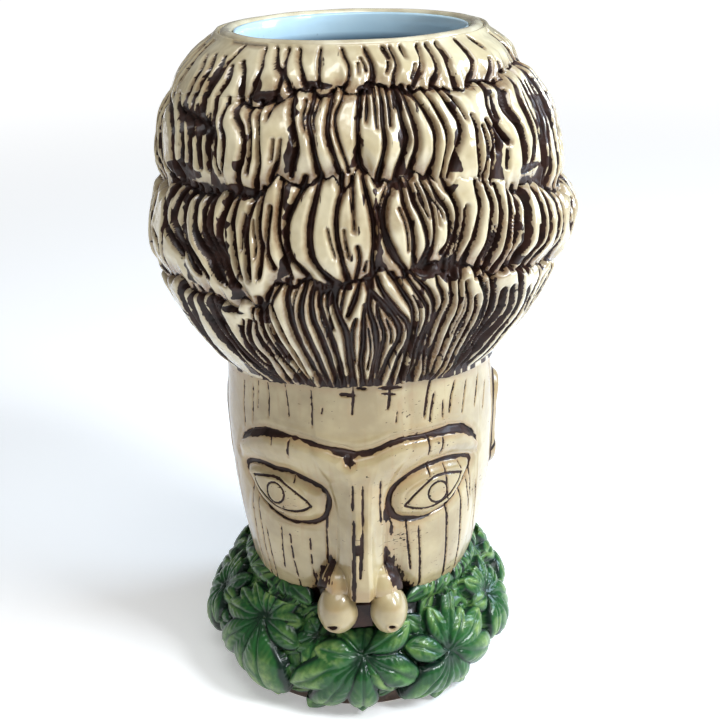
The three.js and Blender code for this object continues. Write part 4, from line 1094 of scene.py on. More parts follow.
def face_field(p, z):
    """Radius, stain and warm wash of the carved face at angle p and height z; the dark mask also holds painted shade
    under the jaw and between the nose balls, the warm tone painted shade at both sides.
    """
    p = recentre(p)
    base = face_radius(z)
    P = polar(base, p, z)
    n1, n2, n3 = noise(P, 1.0, 4), noise(P, 3.0, 7), noise(P, 10.0, 11)
    r = base + 0.16 * n3 + 0.05 * n2
    deep = DEEP_LINES.edge(p, z, base, 5.0)
    fine = FINE_LINES.edge(p, z, base, 2.5)
    thin = THIN_LINES.edge(p, z, base, 2.0)
    # brow ridge below its carved line, falling in towards the eye
    d = tab(BROW_LINE, p) - z
    side = smooth(-66, -58, p) * (1 - smooth(53, 60, p))
    reach = tab(BROW_LINE, p) - tab(BROW_LOW, p)
    ridge = smooth(-0.9, 1.3, d) * (1 - smooth(0.22 * reach, 1.15 * reach, d))
    r = r + side * (1.75 * ridge - 0.7 * smooth(0.5 * reach, reach, d) * (1 - smooth(16, 22, d)))
    r = r + 0.35 * side * smooth(-4, -0.5, d) * (1 - ridge)
    # eyeball and lids inside the socket outline
    for ring, (pc, zc) in ((EYE_L, PUPILS[0]), (EYE_R, PUPILS[1])):
        near = inside(ring, p, z)
        lid = np.where(near, smooth(0.0, 2.6, deep), 0.0)
        r = r + 0.75 * lid
        ball = np.hypot((p - pc) * K * base / 9.0, (z - zc) / 4.6)
        r = r + 0.85 * np.sqrt(np.clip(1 - ball ** 2, 0, 1)) * near
    r = r - 0.5 * smooth(2.4, 0.0, deep)
    # nose
    x = (p + 0.8) * K * 39.0
    flat = tab(NOSE_FLAT, z)
    flank = np.where(x < 0, tab(NOSE_LEFT, z), tab(NOSE_RIGHT, z))
    t = np.clip((np.abs(x) - flat) / flank, 0, 1)
    wedge = (1 - t) * (1 - 0.25 * np.sin(np.pi * t)) * (1 - smooth(0.8, 1.0, t) * 0.5)
    front = tab(NOSE_FRONT, z) / np.cos(np.clip(p, -30, 30) * K)
    tip = smooth(36.0, 38.2, z)
    r = r + np.maximum(front - base, 0) * wedge * tip * (1 - 0.12 * smooth(flat * 0.6, flat, np.abs(x)))
    # wings: the flanks swell forward over the balls
    for xc, half in ((-7.5, 5.6), (5.4, 5.3)):
        sx, cx = np.sin(p * K), np.cos(p * K)
        ax, by, cz = half, 4.2, 6.6
        zz = (z - 37.4) / cz
        qa = (sx / ax) ** 2 + (cx / by) ** 2
        qb = -2 * (sx * xc / ax ** 2 + cx * 37.3 / by ** 2)
        qc = (xc / ax) ** 2 + (37.3 / by) ** 2 + zz ** 2 - 1
        disc = qb ** 2 - 4 * qa * qc
        reach_r = np.where(disc > 0, (-qb + np.sqrt(np.maximum(disc, 0))) / (2 * qa), 0)
        k = 1.2
        m = np.clip(0.5 + 0.5 * (reach_r - r) / k, 0, 1)
        r = np.where(disc > 0, r * (1 - m) + reach_r * m + k * m * (1 - m) * smooth(0, 0.3, disc / (qb ** 2) * 400), r)
    # hollow beside the wings, cheeks, and the undercut below the jaw
    r = r - 0.8 * np.exp(-((p + 17) / 5.5) ** 2 - ((z - 47) / 9) ** 2) - 0.8 * np.exp(-((p - 14.5) / 5.0) ** 2 - ((z - 46) / 9) ** 2)
    r = r + 0.5 * np.exp(-((np.abs(p + 3) - 42) / 18) ** 2 - ((z - 42) / 11) ** 2)
    dj = (z - tab(JAW, p)) * (0.75 + 0.25 * np.cos(np.clip(np.abs(p) - 20, -30, 30) * 3 * K))
    under = 1 - smooth(-1.4, 1.4, dj + 0.3 * n2)
    nose_zone = (1 - smooth(10, 16, np.abs(p + 1)))
    r = r - (2.4 * under + 0.9 * (1 - smooth(0, 6, dj))) * (1 - nose_zone * tip)
    # stain in the carved lines, cracks, smears, specks and at the hairline; painted shade under the jaw and between the
    # balls
    stain = smooth(0.34, -0.05, deep + 0.22 * n1 + 0.15 * n2)
    stain = np.maximum(stain, smooth(0.17, -0.04, fine + 0.16 * n1))
    stain = np.maximum(stain, smooth(0.16, -0.06, thin + 0.06 * n1))
    smear = np.full(p.shape, 9.0)
    for pc, zc, half, tall in SMEARS:
        smear = np.minimum(smear, np.hypot((p - pc) * K * base / half, (z - zc) / tall))
    hairs = noise(np.stack([p * K * base / 0.32, z / 2.6, 0 * p], -1), 1.0, 35)
    smear = smear + 0.36 * hairs + 0.3 * n1 + 0.25 * n2
    stain = np.maximum(stain, smooth(1.0, 0.72, smear))
    fleck = noise(np.stack([p * K * base / 0.9, z / 0.22, 0 * p], -1), 1.0, 36) + 0.35 * n3
    dots = noise(P, 0.42, 37) + 0.3 * n3
    stain = np.maximum(stain, 0.62 * np.maximum(smooth(0.8, 0.95, fleck), smooth(0.84, 0.98, dots)))
    # below the nose tip a block fills the gap between the balls and is coloured dark: painted shadow
    septum = smooth(6.2, 4.6, np.abs(p + 0.6) + 0.8 * n2) * smooth(26.0, 28.4, z + 0.9 * n2) * (1 - smooth(35.4, 36.8, z))
    r = r + np.maximum(40.6 - r, 0) * septum
    stain = np.maximum(stain, smooth(0.2, 0.5, septum))
    # below the jaw line, except up by the nose, the drum is dark: painted shade under the undercut
    stain = np.maximum(stain, (1 - smooth(-0.9, 0.1, dj + 0.5 * n1)) * (1 - nose_zone * smooth(34.5, 37.5, z)))
    below = tab(HAIRLINE, p) - z
    stain = np.maximum(stain, smooth(1.1, 0.5, below + 0.3 * n1))
    warm = 0.75 * smooth(1.6, 0.0, deep + 0.5 * n2) + 0.45 * smooth(0.9, 0.0, fine) + 0.7 * smooth(1.7, 0.8, smear) + 0.5 * smooth(3.4, 0.4, below + n2)
    warm = warm + 0.55 * smooth(3.5, 0.0, dj + n2) + 0.35 * smooth(0.15, 0.75, n3 + 0.5 * n2)
    # both sides of the face turn browner, the left more: painted shade on the sides turned from the light
    warm = warm + 0.6 * smooth(-46, -74, p) + 0.3 * smooth(56, 80, p)
    warm = warm + 0.3 * smooth(0.45, 0.9, noise(np.stack([p * K * base / 0.8, z / 9.0, 0 * p], -1), 1.0, 33))
    r = r - 0.6 * smooth(0.35, -0.3, deep) - 0.45 * smooth(0.25, -0.2, fine) - 0.3 * smooth(0.2, -0.15, thin)
    return r, stain, np.clip(warm, 0, 1)


PATCHES = {
    "brow_ridge": (-64.5, 58.5, lambda q: tab(BROW_LOW, q), lambda q: tab(BROW_LINE, q) + 1.7),
    "eye_right_side": (-62.0, -14.0, lambda q: 54.4 + 0 * q, lambda q: tab(BROW_LOW, q)),
    "eye_left_side": (10.0, 56.0, lambda q: 55.4 + 0 * q, lambda q: tab(BROW_LOW, q)),
    "nose_bridge": (-13.9, 9.9, lambda q: 37.2 + 0 * q, lambda q: np.minimum(tab(BROW_LOW, q), 69.0)),
}
EARS = {"ear_right_side": -95.0, "ear_left_side": 90.0}


def ear_shape(q, z, side):
    """Height of the flat ear over the drum, its stain and warm wash."""
    x = (q - side) * K * 37.0 * (1 if side > 0 else -1)
    y = z - 70.5
    rad = np.hypot(x / (6.4 + 0.08 * y), y / 15.2)
    rim = np.exp(-(((rad - 0.82) / 0.13) ** 2)) * (1 - 0.75 * np.exp(-((x + 6.5) / 3.0) ** 2) * smooth(9, -2, np.abs(y - 2) - 4))
    inner = np.exp(-(((np.hypot((x + 0.6) / 3.4, (y - 1.5) / 8.6) - 0.8) / 0.2) ** 2)) * 0.55
    lobe = np.exp(-((x + 1.2) / 3.0) ** 2 - ((y + 10.5) / 3.4) ** 2) * 0.8
    body = 1 - smooth(0.9, 1.04, rad)
    h = body * (0.2 + (1.6 if side > 0 else 0.3) * np.maximum(np.maximum(rim, inner), lobe))
    hollow = np.exp(-(((np.hypot((x + 0.4) / 2.3, (y - 1.2) / 6.4)) / 0.75) ** 4))
    stain = np.maximum(0.95 * hollow * (1 - lobe), smooth(0.075, 0.02, np.abs(rad - 1.0)) * 0.9)
    stain = np.maximum(stain, 0.9 * np.exp(-(((rad - 0.6) / 0.05) ** 2)) * (1 - lobe))
    return h, stain, body * 0.6


def drum_field(p, z, lowered=True):
    r, stain, warm = face_field(p, z)
    q = recentre(p)
    for side in EARS.values():
        near = np.abs(q - side) < 14
        if near.any():
            h, s, w = ear_shape(q, z, side)
            r = r + np.where(near, h, 0)
            stain = np.maximum(stain, np.where(near, s, 0))
            warm = np.maximum(warm, np.where(near, w * smooth(0, 0.5, h), 0))
    if not lowered:
        return r + 0.03, stain, warm
    cut = np.zeros_like(r)
    for p0, p1, low, high in [*PATCHES.values(), *[(a - 12.5, a + 12.5, lambda q: 53.5 + 0 * q, lambda q: 87.5 + 0 * q) for a in EARS.values()]]:
        k = K * 36.5
        margin = np.minimum(np.minimum((q - p0) * k, (p1 - q) * k), np.minimum(z - low(q), high(q) - z))
        cut = np.maximum(cut, smooth(0.05, 0.6, margin))
    return r - 1.15 * cut * (1 + 3.0 * cut * (np.abs(q + 1) < 16) * (z > 36) * (z < 70)), stain, warm


def relief_patch(node, p0, p1, low, high):
    cols = count((p1 - p0) * K * 38, GRID * 0.8)
    rows = count(float(np.max(high(np.linspace(p0, p1, 40)) - low(np.linspace(p0, p1, 40)))), GRID * 0.8)
    q = np.linspace(p0, p1, cols)[None, :] + np.zeros((rows, 1))
    v = np.linspace(0, 1, rows)[:, None]
    z = low(q) + (high(q) - low(q)) * v
    r, stain, warm = drum_field(q, z, lowered=False)
    closed_patch("glazed_" + node, polar(r, q, z), polar(face_radius(z) - 2.2, q, z), {"stain": stain, "warm": warm},
                 FACE_MAT, node)


for node, (a, b, low, high) in PATCHES.items():
    relief_patch(node, a, b, low, high)
for node, a in EARS.items():
    relief_patch(node, a - 12.5, a + 12.5, lambda q: 53.5 + 0 * q, lambda q: 87.5 + 0 * q)

# drum: finer grid over the front half
step = GRID * 0.86 / (K * 36)
front = np.arange(-84, 84, step)
back = np.arange(84, 276, step * 1.7)
p = np.concatenate([front, back])[None, :]
z_out = np.linspace(5.35, 98.4, int(93 / (GRID * 0.86)))[:, None]
q, zz = p + 0 * z_out, z_out + 0 * p
r, stain, warm = drum_field(q, zz)
outer = polar(r, q, zz)
cavity = [(35.5, 98.4), (35.5, 93.1), (32.0, 93.0), (32.6, 78), (31.9, 60), (30.3, 50), (26.2, 28), (23.3, 5.35)]
inner = np.stack([polar(a + 0 * p, p, b + 0 * p).reshape(-1, 3) for a, b in cavity])
extra = np.zeros((len(cavity), p.shape[1]))
closed_ring("glazed_face_drum", np.concatenate([outer, inner], 0), {"stain": np.vstack([stain, extra]), "warm": np.vstack([warm, extra])},
            FACE_MAT, "face_drum")


def nostril(name, centre, radii, hole, size, tilt):
    """Ball of the nose wing with its nostril pressed in on the lower front."""
    rows, cols = int(34 / GRID), int(48 / GRID)
    th = (np.pi * (np.arange(rows) + 1) / (rows + 1))[:, None] - np.pi / 2
    az = (np.arange(cols) * 2 * np.pi / cols)[None, :]
    d = np.stack([np.cos(th) * np.sin(az), -np.cos(th) * np.cos(az), np.sin(th) + 0 * az], -1)
    P = np.array(centre) + d * np.array(radii)
    ht, ha = hole[0] * K, hole[1] * K
    aim = np.array([math.cos(ht) * math.sin(ha), -math.cos(ht) * math.cos(ha), math.sin(ht)])
    across = np.array([math.cos(ha), math.sin(ha), 0.0])
    up = np.cross(across, aim)
    x, z = (d @ across) * 5.6, (d @ up) * 6.2
    c, s = math.cos(tilt), math.sin(tilt)
    e = np.hypot((c * x + s * z) / size[0], (-s * x + c * z) / size[1])
    e = np.where(d @ aim > 0, e, 9.0)
    n1, n2 = noise(P, 1.2, 6), noise(P, 4.0, 15)
    P = P + d * (0.22 * n2 - 1.5 * smooth(1.15, 0.45, e) + 0.25 * np.exp(-((e - 1.5) / 0.3) ** 2))[..., None]
    stain = smooth(1.1, 0.8, e + 0.15 * n1)
    # the back of the ball, against the face, darkens and warms: painted shade
    behind = d[..., 1] + 0.25 * n2
    stain = np.maximum(stain, smooth(0.45, 0.7, behind))
    warm = np.clip(0.7 * smooth(0.1, 0.5, behind) + 0.5 * smooth(1.9, 1.1, e) + 0.3 * smooth(0.2, 0.7, n2), 0, 1)
    rows_v = P.reshape(-1, 3)
    low = P[0].mean(0)
    top = P[-1].mean(0)
    verts = np.vstack([rows_v, low[None], top[None]])
    j = np.arange(cols)
    n = (j + 1) % cols
    m = rows * cols
    tris = np.vstack([np.stack([0 * j + m, n, j], -1), np.stack([0 * j + m + 1, (rows - 1) * cols + j, (rows - 1) * cols + n], -1)])
    values = {"stain": np.concatenate([stain.ravel(), [stain[0].mean(), stain[-1].mean()]]),
              "warm": np.concatenate([warm.ravel(), [warm[0].mean(), warm[-1].mean()]])}
    mesh_object("glazed_" + name, verts, quads_of(rows, cols, 0, loop=True), tris, values, FACE_MAT, name)


nostril("nostril_right_side", (-7.7, -38.6, 33.3), (5.5, 5.9, 6.8), (-27, -20), (1.7, 0.85), -0.35)
nostril("nostril_left_side", (5.8, -38.6, 32.9), (5.1, 5.9, 6.7), (-25, 10), (1.15, 0.85), 0.5)

# ------------------------------------------------------------------ lip, lining, foot
def lip_relief(r, p, z):
    P = polar(r, p, z)
    n2, n3 = noise(P, 4.0, 2), noise(P, 12.0, 3)
    out = smooth(31.5, 33.0, r)
    return polar(r + 0.12 * n3 * out, p, z + 0.18 * n3 * (z > 178)), np.clip(0.35 * smooth(0, 0.8, n2 + n3) , 0, 1)


section = [(29.7, 172.4), (33.0, 172.4), (33.0, 175.0), (33.05, 177.2), (33.0, 178.2), (32.75, 178.9), (32.3, 179.35), (31.7, 179.58),
           (31.1, 179.6), (30.5, 179.45), (30.05, 179.1), (29.75, 178.6), (29.65, 177.8), (29.6, 175)]
cols = int(2 * math.pi * 31 / 0.55)
p = (np.arange(cols) * 360.0 / cols - 180.0)[None, :]
r = np.array([a for a, _ in section])[:, None] + 0 * p
z = np.array([b for _, b in section])[:, None] + 0 * p
verts, warm = lip_relief(r, p + 0 * r, z)
closed_ring("glazed_lip_ring", verts, {"stain": 0 * warm, "warm": warm}, LIP_MAT, "lip_ring")

LINER = [(0, 5.7), (22.8, 5.7), (25.4, 28), (31.2, 60), (31.6, 93), (34.6, 104), (39.6, 112), (44.4, 122), (45.2, 131), (43.6, 142),
         (41.2, 152), (39.6, 160), (29.3, 172.2), (29.22, 176), (29.25, 178.3), (29.0, 178.9), (28.7, 178.3), (28.55, 176), (28.5, 172.0),
         (38.7, 159.4), (40.4, 152), (42.8, 142), (44.4, 131), (43.6, 122), (38.8, 112), (33.8, 104), (30.8, 93), (30.4, 60), (24.6, 28.4),
         (22.0, 9.0), (19.5, 6.8), (12, 6.5), (0, 6.5)]


def dense(profile, step):
    out = [profile[0]]
    for (a, b), (c, d) in zip(profile[:-1], profile[1:]):
        n = max(1, int(math.hypot(c - a, d - b) / step))
        out += [(a + (c - a) * i / n, b + (d - b) * i / n) for i in range(1, n + 1)]
    return out


def liner_relief(r, p, z):
    P = polar(r, p, z)
    n3 = noise(P, 14.0, 19)
    ring = 0.05 * np.sin(z * 1.9 + 2 * n3)
    # deep darkens the lining below the lip, a little more on one side: painted shade inside the cup
    deep = smooth(174.0, 170.2, z + 0.8 * np.cos((p - 40) * K)) * 0.95 + 0.12 * n3
    return polar(np.maximum(r + (0.14 * n3 + ring) * smooth(2, 8, r), 0.02), p, z), {"deep": np.clip(deep, 0, 1), "stain": 0 * r, "warm": 0 * r}


turned("glazed_liner", dense(LINER, 1.6), 200, liner_relief, LINER_MAT, "liner_glaze")

FOOT = [(0, 1.4), (10, 1.4), (20, 1.4), (26.6, 1.35), (27.6, 0.9), (28.2, 0.25), (28.8, 0.02), (30, 0.0), (33, 0.0), (35.8, 0.02), (36.6, 0.35),
        (36.95, 0.95), (37.0, 2.0), (37.0, 4.2), (36.8, 4.8), (36.2, 5.0), (20, 5.0), (0, 5.0)]


def foot_relief(r, p, z):
    P = polar(r, p, z)
    n2, n3 = noise(P, 2.5, 23), noise(P, 9.0, 24)
    ring = 0.07 * np.sin(r * 3.3 + n3) * (z < 1.5) * (z > 1.0)
    side = smooth(35.4, 36.8, r + 0.5 * n2)
    return polar(np.minimum(r + 0.1 * n3 * (r > 30), 37.1), p, np.maximum(z + ring, 0.0)), {"stain": side, "warm": 0 * r, "deep": 0 * r}


turned("bare_foot_plate", dense(FOOT, 0.7), 360, foot_relief, CLAY_MAT, "foot_plate")
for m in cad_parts["head_wall"].material_slots:
    m.material = WALL_MAT

# ------------------------------------------------------------------ wreath
EARTH_OUT = [(5.35, 38.0), (9, 40.2), (13, 40.8), (17, 39.4), (21, 36.8), (25, 34.0), (28.5, 32.0)]
cols = int(2 * math.pi * 40 / (GRID * 1.6))
p = (np.arange(cols) * 360.0 / cols - 180.0)[None, :]
zo = np.linspace(5.4, 28.4, int(30 / (GRID * 1.6)))[:, None]
base = tab(EARTH_OUT, zo) + 0 * p
P = polar(base, p, zo + 0 * p)
lump = 0.55 * noise(P, 3.4, 41) + 0.35 * noise(P, 1.4, 42) + 0.5 * noise(P, 8.0, 43)
outer = polar(base - 0.3 + 0.8 * lump * smooth(5.4, 7, zo), p, zo)
inner = [(face_radius(28.4) + 0.5, 28.4), (face_radius(22) + 0.5, 22), (face_radius(14) + 0.5, 14), (face_radius(5.4) + 0.5, 5.4)]
inner = np.stack([polar(a + 0 * p, p, b + 0 * p).reshape(-1, 3) for a, b in inner])
# deep darkens the earth towards its top, under the leaves: painted shade
deep = np.clip(smooth(17, 26, zo + 3 * noise(P, 6.0, 44)) * 0.85, 0, 1)
closed_ring("glazed_earth_ring", np.concatenate([outer, inner], 0),
            {"deep": np.vstack([deep, np.zeros(inner.shape[:2])])}, EARTH_MAT, "earth_ring")

SLOPE = [(30.6, 33.0)] + EARTH_OUT[::-1] + [(3.0, 38.3), (0.6, 38.3)]
SLOPE_S = np.concatenate([[0], np.cumsum([math.hypot(b[0] - a[0], b[1] - a[1]) for a, b in zip(SLOPE[:-1], SLOPE[1:])])])


def slope_point(s, p, lift):
    """Point lift millimetres off the wreath slope, at arc length s down it and angle p."""
    soft = np.linspace(-6, 40, 461)
    zs = np.interp(soft, SLOPE_S, [a for a, _ in SLOPE]) - np.clip(soft - SLOPE_S[-1], 0, None) + np.clip(-soft, 0, None) * 0.7
    rs = np.interp(soft, SLOPE_S, [b for _, b in SLOPE]) - np.clip(-soft, 0, None) * 0.6
    k = np.hanning(41)
    k /= k.sum()
    zs[20:-20] = np.convolve(zs, k, "valid")
    rs[20:-20] = np.convolve(rs, k, "valid")
    dz, dr = np.gradient(zs, soft), np.gradient(rs, soft)
    length = np.hypot(dz, dr)
    nr, nz = np.interp(s, soft, -dz / length), np.interp(s, soft, dr / length)
    return polar(np.interp(s, soft, rs) + nr * lift, p, np.interp(s, soft, zs) + nz * lift)


# front sprigs: centre and leaflet tips as angle, arc length down the slope; half width and height in millimetres
SPRIGS = {
    1: ((-43.9, 9.9), [(-60, 3.2, 2.6, 1.6), (-47.5, 0.4, 2.7, 1.7), (-31, 1.0, 3.2, 1.9), (-25.5, 7.6, 3.0, 2.0), (-23.5, 13.6, 3.2, 2.4),
                       (-33.5, 31.4, 6.2, 3.4), (-50, 30.5, 4.2, 2.4), (-66.5, 24.5, 3.4, 2.4), (-70, 14, 2.9, 2.0), (-67, 8, 2.6, 1.7)]),
    2: ((1.1, 14.5), [(-17.5, 13.6, 3.7, 2.9), (-26.5, 23.0, 3.4, 2.8), (-20.5, 32.6, 3.5, 3.0), (0.8, 32.4, 3.3, 3.3), (12.5, 24.0, 2.4, 2.4),
                      (22.0, 21.5, 3.3, 3.0), (21.0, 7.6, 4.3, 3.2), (1.5, 5.6, 3.0, 1.1), (-10.0, 7.6, 2.8, 1.2)]),
    3: ((35.1, 18.0), [(17.5, 13.4, 3.2, 2.9), (31.0, 5.0, 2.9, 2.3), (43.5, 0.4, 2.7, 2.5), (47.8, 9.6, 2.7, 2.6), (57.0, 13.0, 3.6, 2.9),
                       (59.5, 23.5, 3.6, 2.9), (45.0, 32.4, 3.4, 2.9), (30.0, 33.0, 3.6, 3.1), (15.5, 29.6, 3.8, 3.3)]),
    4: ((67.3, 12.5), [(56.4, 3.2, 3.0, 2.2), (66.5, 1.6, 2.8, 2.1), (79, 3.0, 2.8, 2.1), (86.5, 11.0, 3.2, 2.4), (85, 21.0, 3.4, 2.8),
                       (73.5, 27.0, 3.8, 3.1), (61.5, 23.5, 3.2, 2.7), (54.5, 11.5, 2.9, 2.3)]),
    10: ((-80.0, 12.6), [(-92.0, 4.0, 2.9, 2.0), (-80.5, 1.0, 2.7, 2.0), (-67.0, 3.8, 2.7, 1.8), (-64.5, 12.0, 2.8, 1.9), (-72.5, 21.0, 3.4, 2.6),
                         (-82.0, 27.5, 3.8, 3.0), (-95.0, 21.5, 3.5, 2.7), (-97.0, 12.5, 3.0, 2.2)]),
}
UNDER = {2: [((-17.4, 9.9), [(-27.0, 14.6, 2.9, 1.8), (-23.7, 6.2, 2.7, 1.6), (-12.5, 14.0, 2.7, 1.4), (-19.5, 20.0, 2.8, 1.6)])],
         1: [((-60, 17), [(-72, 19.5, 2.7, 1.7), (-62, 26.5, 2.9, 1.8)])]}


def leaf_sprig(number, centre, leaflets, extra, rng, reach):
    node = "leaf_sprig_%02d" % number
    groups = [(centre, leaflets, 0.0)] + [(c, l, -0.5) for c, l in extra]
    every = [t for _, l, _ in groups for t in l] + [(*centre, 0, 0)]
    p0, p1 = min(min(t[0] for t in every) - 4.5, reach[0] - 5), max(max(t[0] for t in every) + 4.5, reach[1] + 5)
    s0, s1 = -4.0, min(max(t[1] for t in every) + 2.5, 34.6)
    k = K * 38.5
    cols = int((p1 - p0) * k / GRID) + 1
    rows = int((s1 - s0) / GRID) + 1
    p = np.linspace(p0, p1, cols)[None, :] + np.zeros((rows, 1))
    s = np.linspace(s1, s0, rows)[:, None] + np.zeros((1, cols))
    best = np.full(p.shape, -1.2)
    tint = np.zeros(p.shape)
    crest_highlight = np.zeros(p.shape)
    rim = np.ones(p.shape)
    warp = 0.45 * noise(np.stack([p * k, s, 0 * p + number * 31], -1), 5.0, 51)
    for (cp, cs), tips, drop in groups:
        order = rng.permutation(len(tips))
        for m in order:
            tp, ts, half, high = tips[m]
            dx, dy = (tp - cp) * k, ts - cs
            length = math.hypot(dx, dy)
            ux, uy = dx / length, dy / length
            x, y = (p - cp) * k, s - cs
            a = x * ux + y * uy
            b = -x * uy + y * ux + warp + rng.uniform(-0.06, 0.06) * a * (1 - np.clip(a / length, 0, 1)) * 4 / 3
            t = np.clip(a / length, 0, 1)
            w = half * 1.12 * np.clip(np.sin(np.pi * t ** 1.25), 0, 1) ** 0.55 * (0.45 + 0.55 * smooth(0.0, 0.5, t)) + 1e-4
            across = np.clip(np.abs(b) / w, 0, 1.5)
            body = np.sqrt(np.clip(1 - across ** 2.2, 0, 1))
            arch = 0.35 + 0.65 * np.sin(np.pi * np.clip(t * 0.93 + 0.04, 0, 1)) ** 0.7
            lift = 1.0 + drop + high * 0.42 * np.sin(np.pi * np.clip(t * 0.8 + 0.06, 0, 1))
            h = lift + (high * 0.78 * arch) * body
            crease = np.exp(-((b / 0.42) ** 2)) * smooth(0.04, 0.16, t) * (1 - smooth(0.8, 0.97, t))
            across = np.where((np.abs(p + 0.8) < 8.5) & (s < 7.5), 2.0, across)
            veins = np.cos(2 * np.pi * (a + 1.15 * np.abs(b)) / 2.1) * smooth(0.1, 0.4, across) * (1 - smooth(0.6, 0.95, across))
            h = h - 0.6 * crease + 0.07 * veins
            h = np.where((a > 0) & (a < length) & (across < 1), h, -1.2)
            over = h > best
            best = np.where(over, h, best)
            shade = rng.uniform(0.1, 1.0)
            tint = np.where(over, shade, tint)
            # crest: painted highlight along the leaflet's middle; rim: painted shade at its edges, base and crease
            crest_highlight = np.where(over, np.clip(smooth(0.85, 0.2, across) * smooth(0.28, 0.66, t) - 0.75 * crease + 0.08 * veins, 0, 1), crest_highlight)
            rim = np.where(over, np.maximum(smooth(0.6, 0.96, across), (1 - smooth(0.08, 0.45, t)) * 0.75), rim)
            rim = np.where(over, np.maximum(rim, 0.5 * crease), rim)
    # smaller leaflets lying underneath fill the ground between the sprigs
    lo_p, hi_p = reach
    for gs in np.arange(-0.5, 31, 4.6):
        for gp in np.arange(lo_p, hi_p, 4.9 / k):
            mp, ms = gp + rng.uniform(-1.4, 1.4) / k, gs + rng.uniform(-1.3, 1.3)
            turn = rng.uniform(0, 2 * math.pi)
            long, half, high = rng.uniform(8, 10.5), rng.uniform(2.5, 3.3), rng.uniform(0.6, 1.0)
            bare = (-24 < mp < -10 and ms < 7) or (12 < mp < 27 and ms < 5.5) or (abs(mp - 8) < 16 and ms > 27) or (abs(mp + 0.8) < 11 and ms < 8) or (-24 < mp < -14 and ms > 26)
            ux, uy = math.cos(turn), math.sin(turn)
            x, y = (p - mp) * k, s - ms
            a = x * ux + y * uy + 0.5 * long
            b = -x * uy + y * ux + warp
            if bare:
                continue
            t = np.clip(a / long, 0, 1)
            w = half * np.clip(np.sin(np.pi * t ** 1.2), 0, 1) ** 0.55 + 1e-4
            across = np.clip(np.abs(b) / w, 0, 1.5)
            crease = np.exp(-((b / 0.4) ** 2)) * smooth(0.04, 0.16, t) * (1 - smooth(0.8, 0.97, t))
            h = -0.1 + rng.uniform(0, 0.3) + high * 0.8 * np.sqrt(np.clip(1 - across ** 2.2, 0, 1)) - 0.45 * crease
            h = np.where((a > 0) & (a < long) & (across < 1), h, -1.2)
            over = h > best
            best = np.where(over, h, best)
            tint = np.where(over, rng.uniform(0.0, 0.8), tint)
            # crest: painted highlight along the leaflet's middle; rim: painted shade at its edges and crease
            crest_highlight = np.where(over, np.clip(smooth(0.95, 0.25, across) * 0.75 - 0.6 * crease, 0, 1), crest_highlight)
            rim = np.where(over, np.maximum(smooth(0.5, 0.95, across), 0.3 + 0.4 * crease), rim)
    cx, cy = (p - centre[0]) * k, s - centre[1]
    hub = np.exp(-(np.hypot(cx, cy) / 1.5) ** 2)
    best = np.maximum(best, np.where(hub > 0.25, 0.9 + 0.5 * hub, -1.2))
    rim = np.maximum(rim, 0.6 * hub)
    # the gaps between leaflets near the middle stay closed by a low web, coloured dark as painted shade
    web = np.exp(-(np.hypot(cx, cy) / 5.6) ** 4)
    web_h = 0.55 + 0.25 * noise(np.stack([cx, cy, 0 * cx + number], -1), 2.0, 52)
    rim = np.where((best < web_h) & (web > 0.4), 0.95, rim)
    crest_highlight = np.where((best < web_h) & (web > 0.4), 0, crest_highlight)
    best = np.where(web > 0.4, np.maximum(best, web_h), best)
    grainy = noise(np.stack([cx, cy, 0 * cx + number * 7], -1), 2.6, 53)
    show = best > -0.5
    keep = show[:-1, :-1] | show[1:, :-1] | show[:-1, 1:] | show[1:, 1:]
    lift = np.maximum(best, 0.15) + 0.12 * grainy
    top = slope_point(s, p, np.where(show, lift + 0.45, 0.2))
    low = slope_point(s, p, 0 * s - 0.25)
    for grid in (top, low):
        grid[..., 2] = np.maximum(grid[..., 2], 0.15)
    # deep is the rim shade where leaflets show and full dark elsewhere: painted shade
    masked_patch("glazed_" + node, top, low, keep, {"tint": np.clip(tint + 0.15 * grainy, 0, 1), "crest_highlight": crest_highlight, "deep": np.clip(np.where(show, rim, 1.0), 0, 1)},
                 LEAF_MAT, node)


CAD_SPRIGS = [(-46, 16.0), (0, 17.6), (38, 17.4), (72, 15.6), (108, 16.4), (144, 16.0), (180, 16.6), (216, 16.2), (252, 16.6), (283, 15.8)]
for number, (pc, sc) in enumerate(CAD_SPRIGS, 1):
    rng = np.random.default_rng(500 + number)
    if number in SPRIGS:
        centre, tips = SPRIGS[number]
        extra = UNDER.get(number, [])
    else:
        centre = (pc + rng.uniform(-1.5, 1.5), sc - rng.uniform(1.0, 3.0))
        n = int(rng.integers(8, 10))
        start = rng.uniform(0, 360 / n)
        tips = []
        for m in range(n):
            turn = (start + 360.0 * m / n + rng.uniform(-7, 7)) * K
            long = (14.2 + 2.6 * max(0, math.sin(turn))) * rng.uniform(0.86, 1.06)
            dx, dy = math.cos(turn) * long * 0.92, math.sin(turn) * long
            ts = min(max(centre[1] + dy, 0.6), 32.8)
            tips.append((centre[0] + dx / (K * 38.5), ts, rng.uniform(3.0, 4.0), rng.uniform(2.3, 3.3)))
        extra = []
    around = [a for a, _ in CAD_SPRIGS]
    around = [around[-1] - 360] + around + [around[0] + 360]
    leaf_sprig(number, centre, tips, extra, rng, (0.5 * (pc + around[number - 1]), 0.5 * (pc + around[number + 1])))

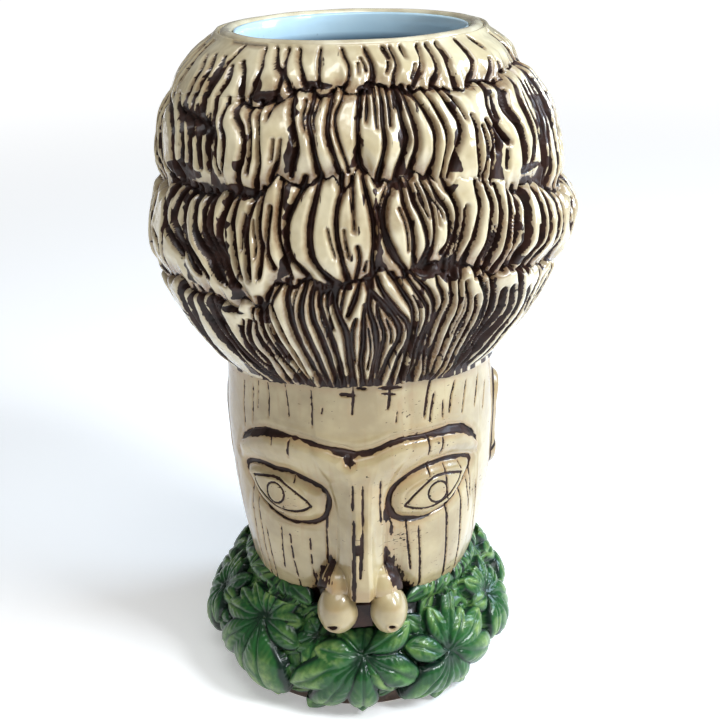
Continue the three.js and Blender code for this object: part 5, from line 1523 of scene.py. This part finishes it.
# ------------------------------------------------------------------ floor, light, camera
scene = bpy.context.scene
floor_mesh = bpy.data.meshes.new("floor")
floor_mesh.from_pydata([(-6, -6, 0), (6, -6, 0), (6, 6, 0), (-6, 6, 0)], [], [(0, 1, 2, 3)])
floor = bpy.data.objects.new("floor", floor_mesh)
scene.collection.objects.link(floor)
material, tree, body = shader("pale_floor")
body.inputs["Base Color"].default_value = (0.93, 0.93, 0.925, 1)
body.inputs["Roughness"].default_value = 0.65
body.inputs["Emission Color"].default_value = (1, 1, 1, 1)
place = tree.nodes.new("ShaderNodeTexCoord")
reach = tree.nodes.new("ShaderNodeVectorMath")
reach.operation = "LENGTH"
tree.links.new(place.outputs["Object"], reach.inputs[0])
# the floor glows, faint near the mug and stronger further out: painted light that keeps it white and lights the mug
# from below
glow = tree.nodes.new("ShaderNodeMapRange")
glow.interpolation_type = "SMOOTHSTEP"
for key, value in (("From Min", 0.2), ("From Max", 1.3), ("To Min", 0.34), ("To Max", 0.86)):
    glow.inputs[key].default_value = value
tree.links.new(reach.outputs["Value"], glow.inputs["Value"])
tree.links.new(glow.outputs["Result"], body.inputs["Emission Strength"])
floor_mesh.materials.append(material)

world = bpy.data.worlds.new("studio")
scene.world = world
world.use_nodes = True
world.node_tree.nodes["Background"].inputs["Color"].default_value = (0.97, 0.985, 1.0, 1)
world.node_tree.nodes["Background"].inputs["Strength"].default_value = 0.18


def area(name, place, aim, size, power, colour):
    light = bpy.data.lights.new(name, "AREA")
    light.shape = "RECTANGLE"
    light.size, light.size_y = size
    light.energy = power
    light.color = colour
    obj = bpy.data.objects.new(name, light)
    obj.location = place
    obj.rotation_euler = (Vector(aim) - Vector(place)).to_track_quat("-Z", "Y").to_euler()
    scene.collection.objects.link(obj)
    return obj


area("window", (0.5, -0.36, 0.6), (0, 0, 0.11), (0.17, 0.28), 5.2, (0.9, 0.95, 1.0))
area("fill", (-0.62, -0.55, 0.5), (0, 0, 0.09), (0.6, 0.6), 0.2, (1.0, 0.96, 0.9))
area("pane", (0.42, 0.06, 0.34), (0, 0, 0.13), (0.16, 0.3), 2.2, (0.62, 0.8, 1.0))
area("overhead", (0.05, -0.3, 0.88), (0, 0, 0.12), (0.5, 0.35), 2.9, (0.96, 0.98, 1.0))

camera = bpy.data.cameras.new("camera")
camera.lens = 60.3
camera.sensor_width = 36.0
camera.clip_start = 0.01
view = bpy.data.objects.new("camera", camera)
view.matrix_world = Matrix.Translation((0.0, -0.310, 0.217)) @ Matrix.Rotation(67.5 * K, 4, "X") @ Matrix.Rotation(-1.6 * K, 4, "Z")
scene.collection.objects.link(view)
scene.camera = view
scene.view_settings.view_transform = "Standard"
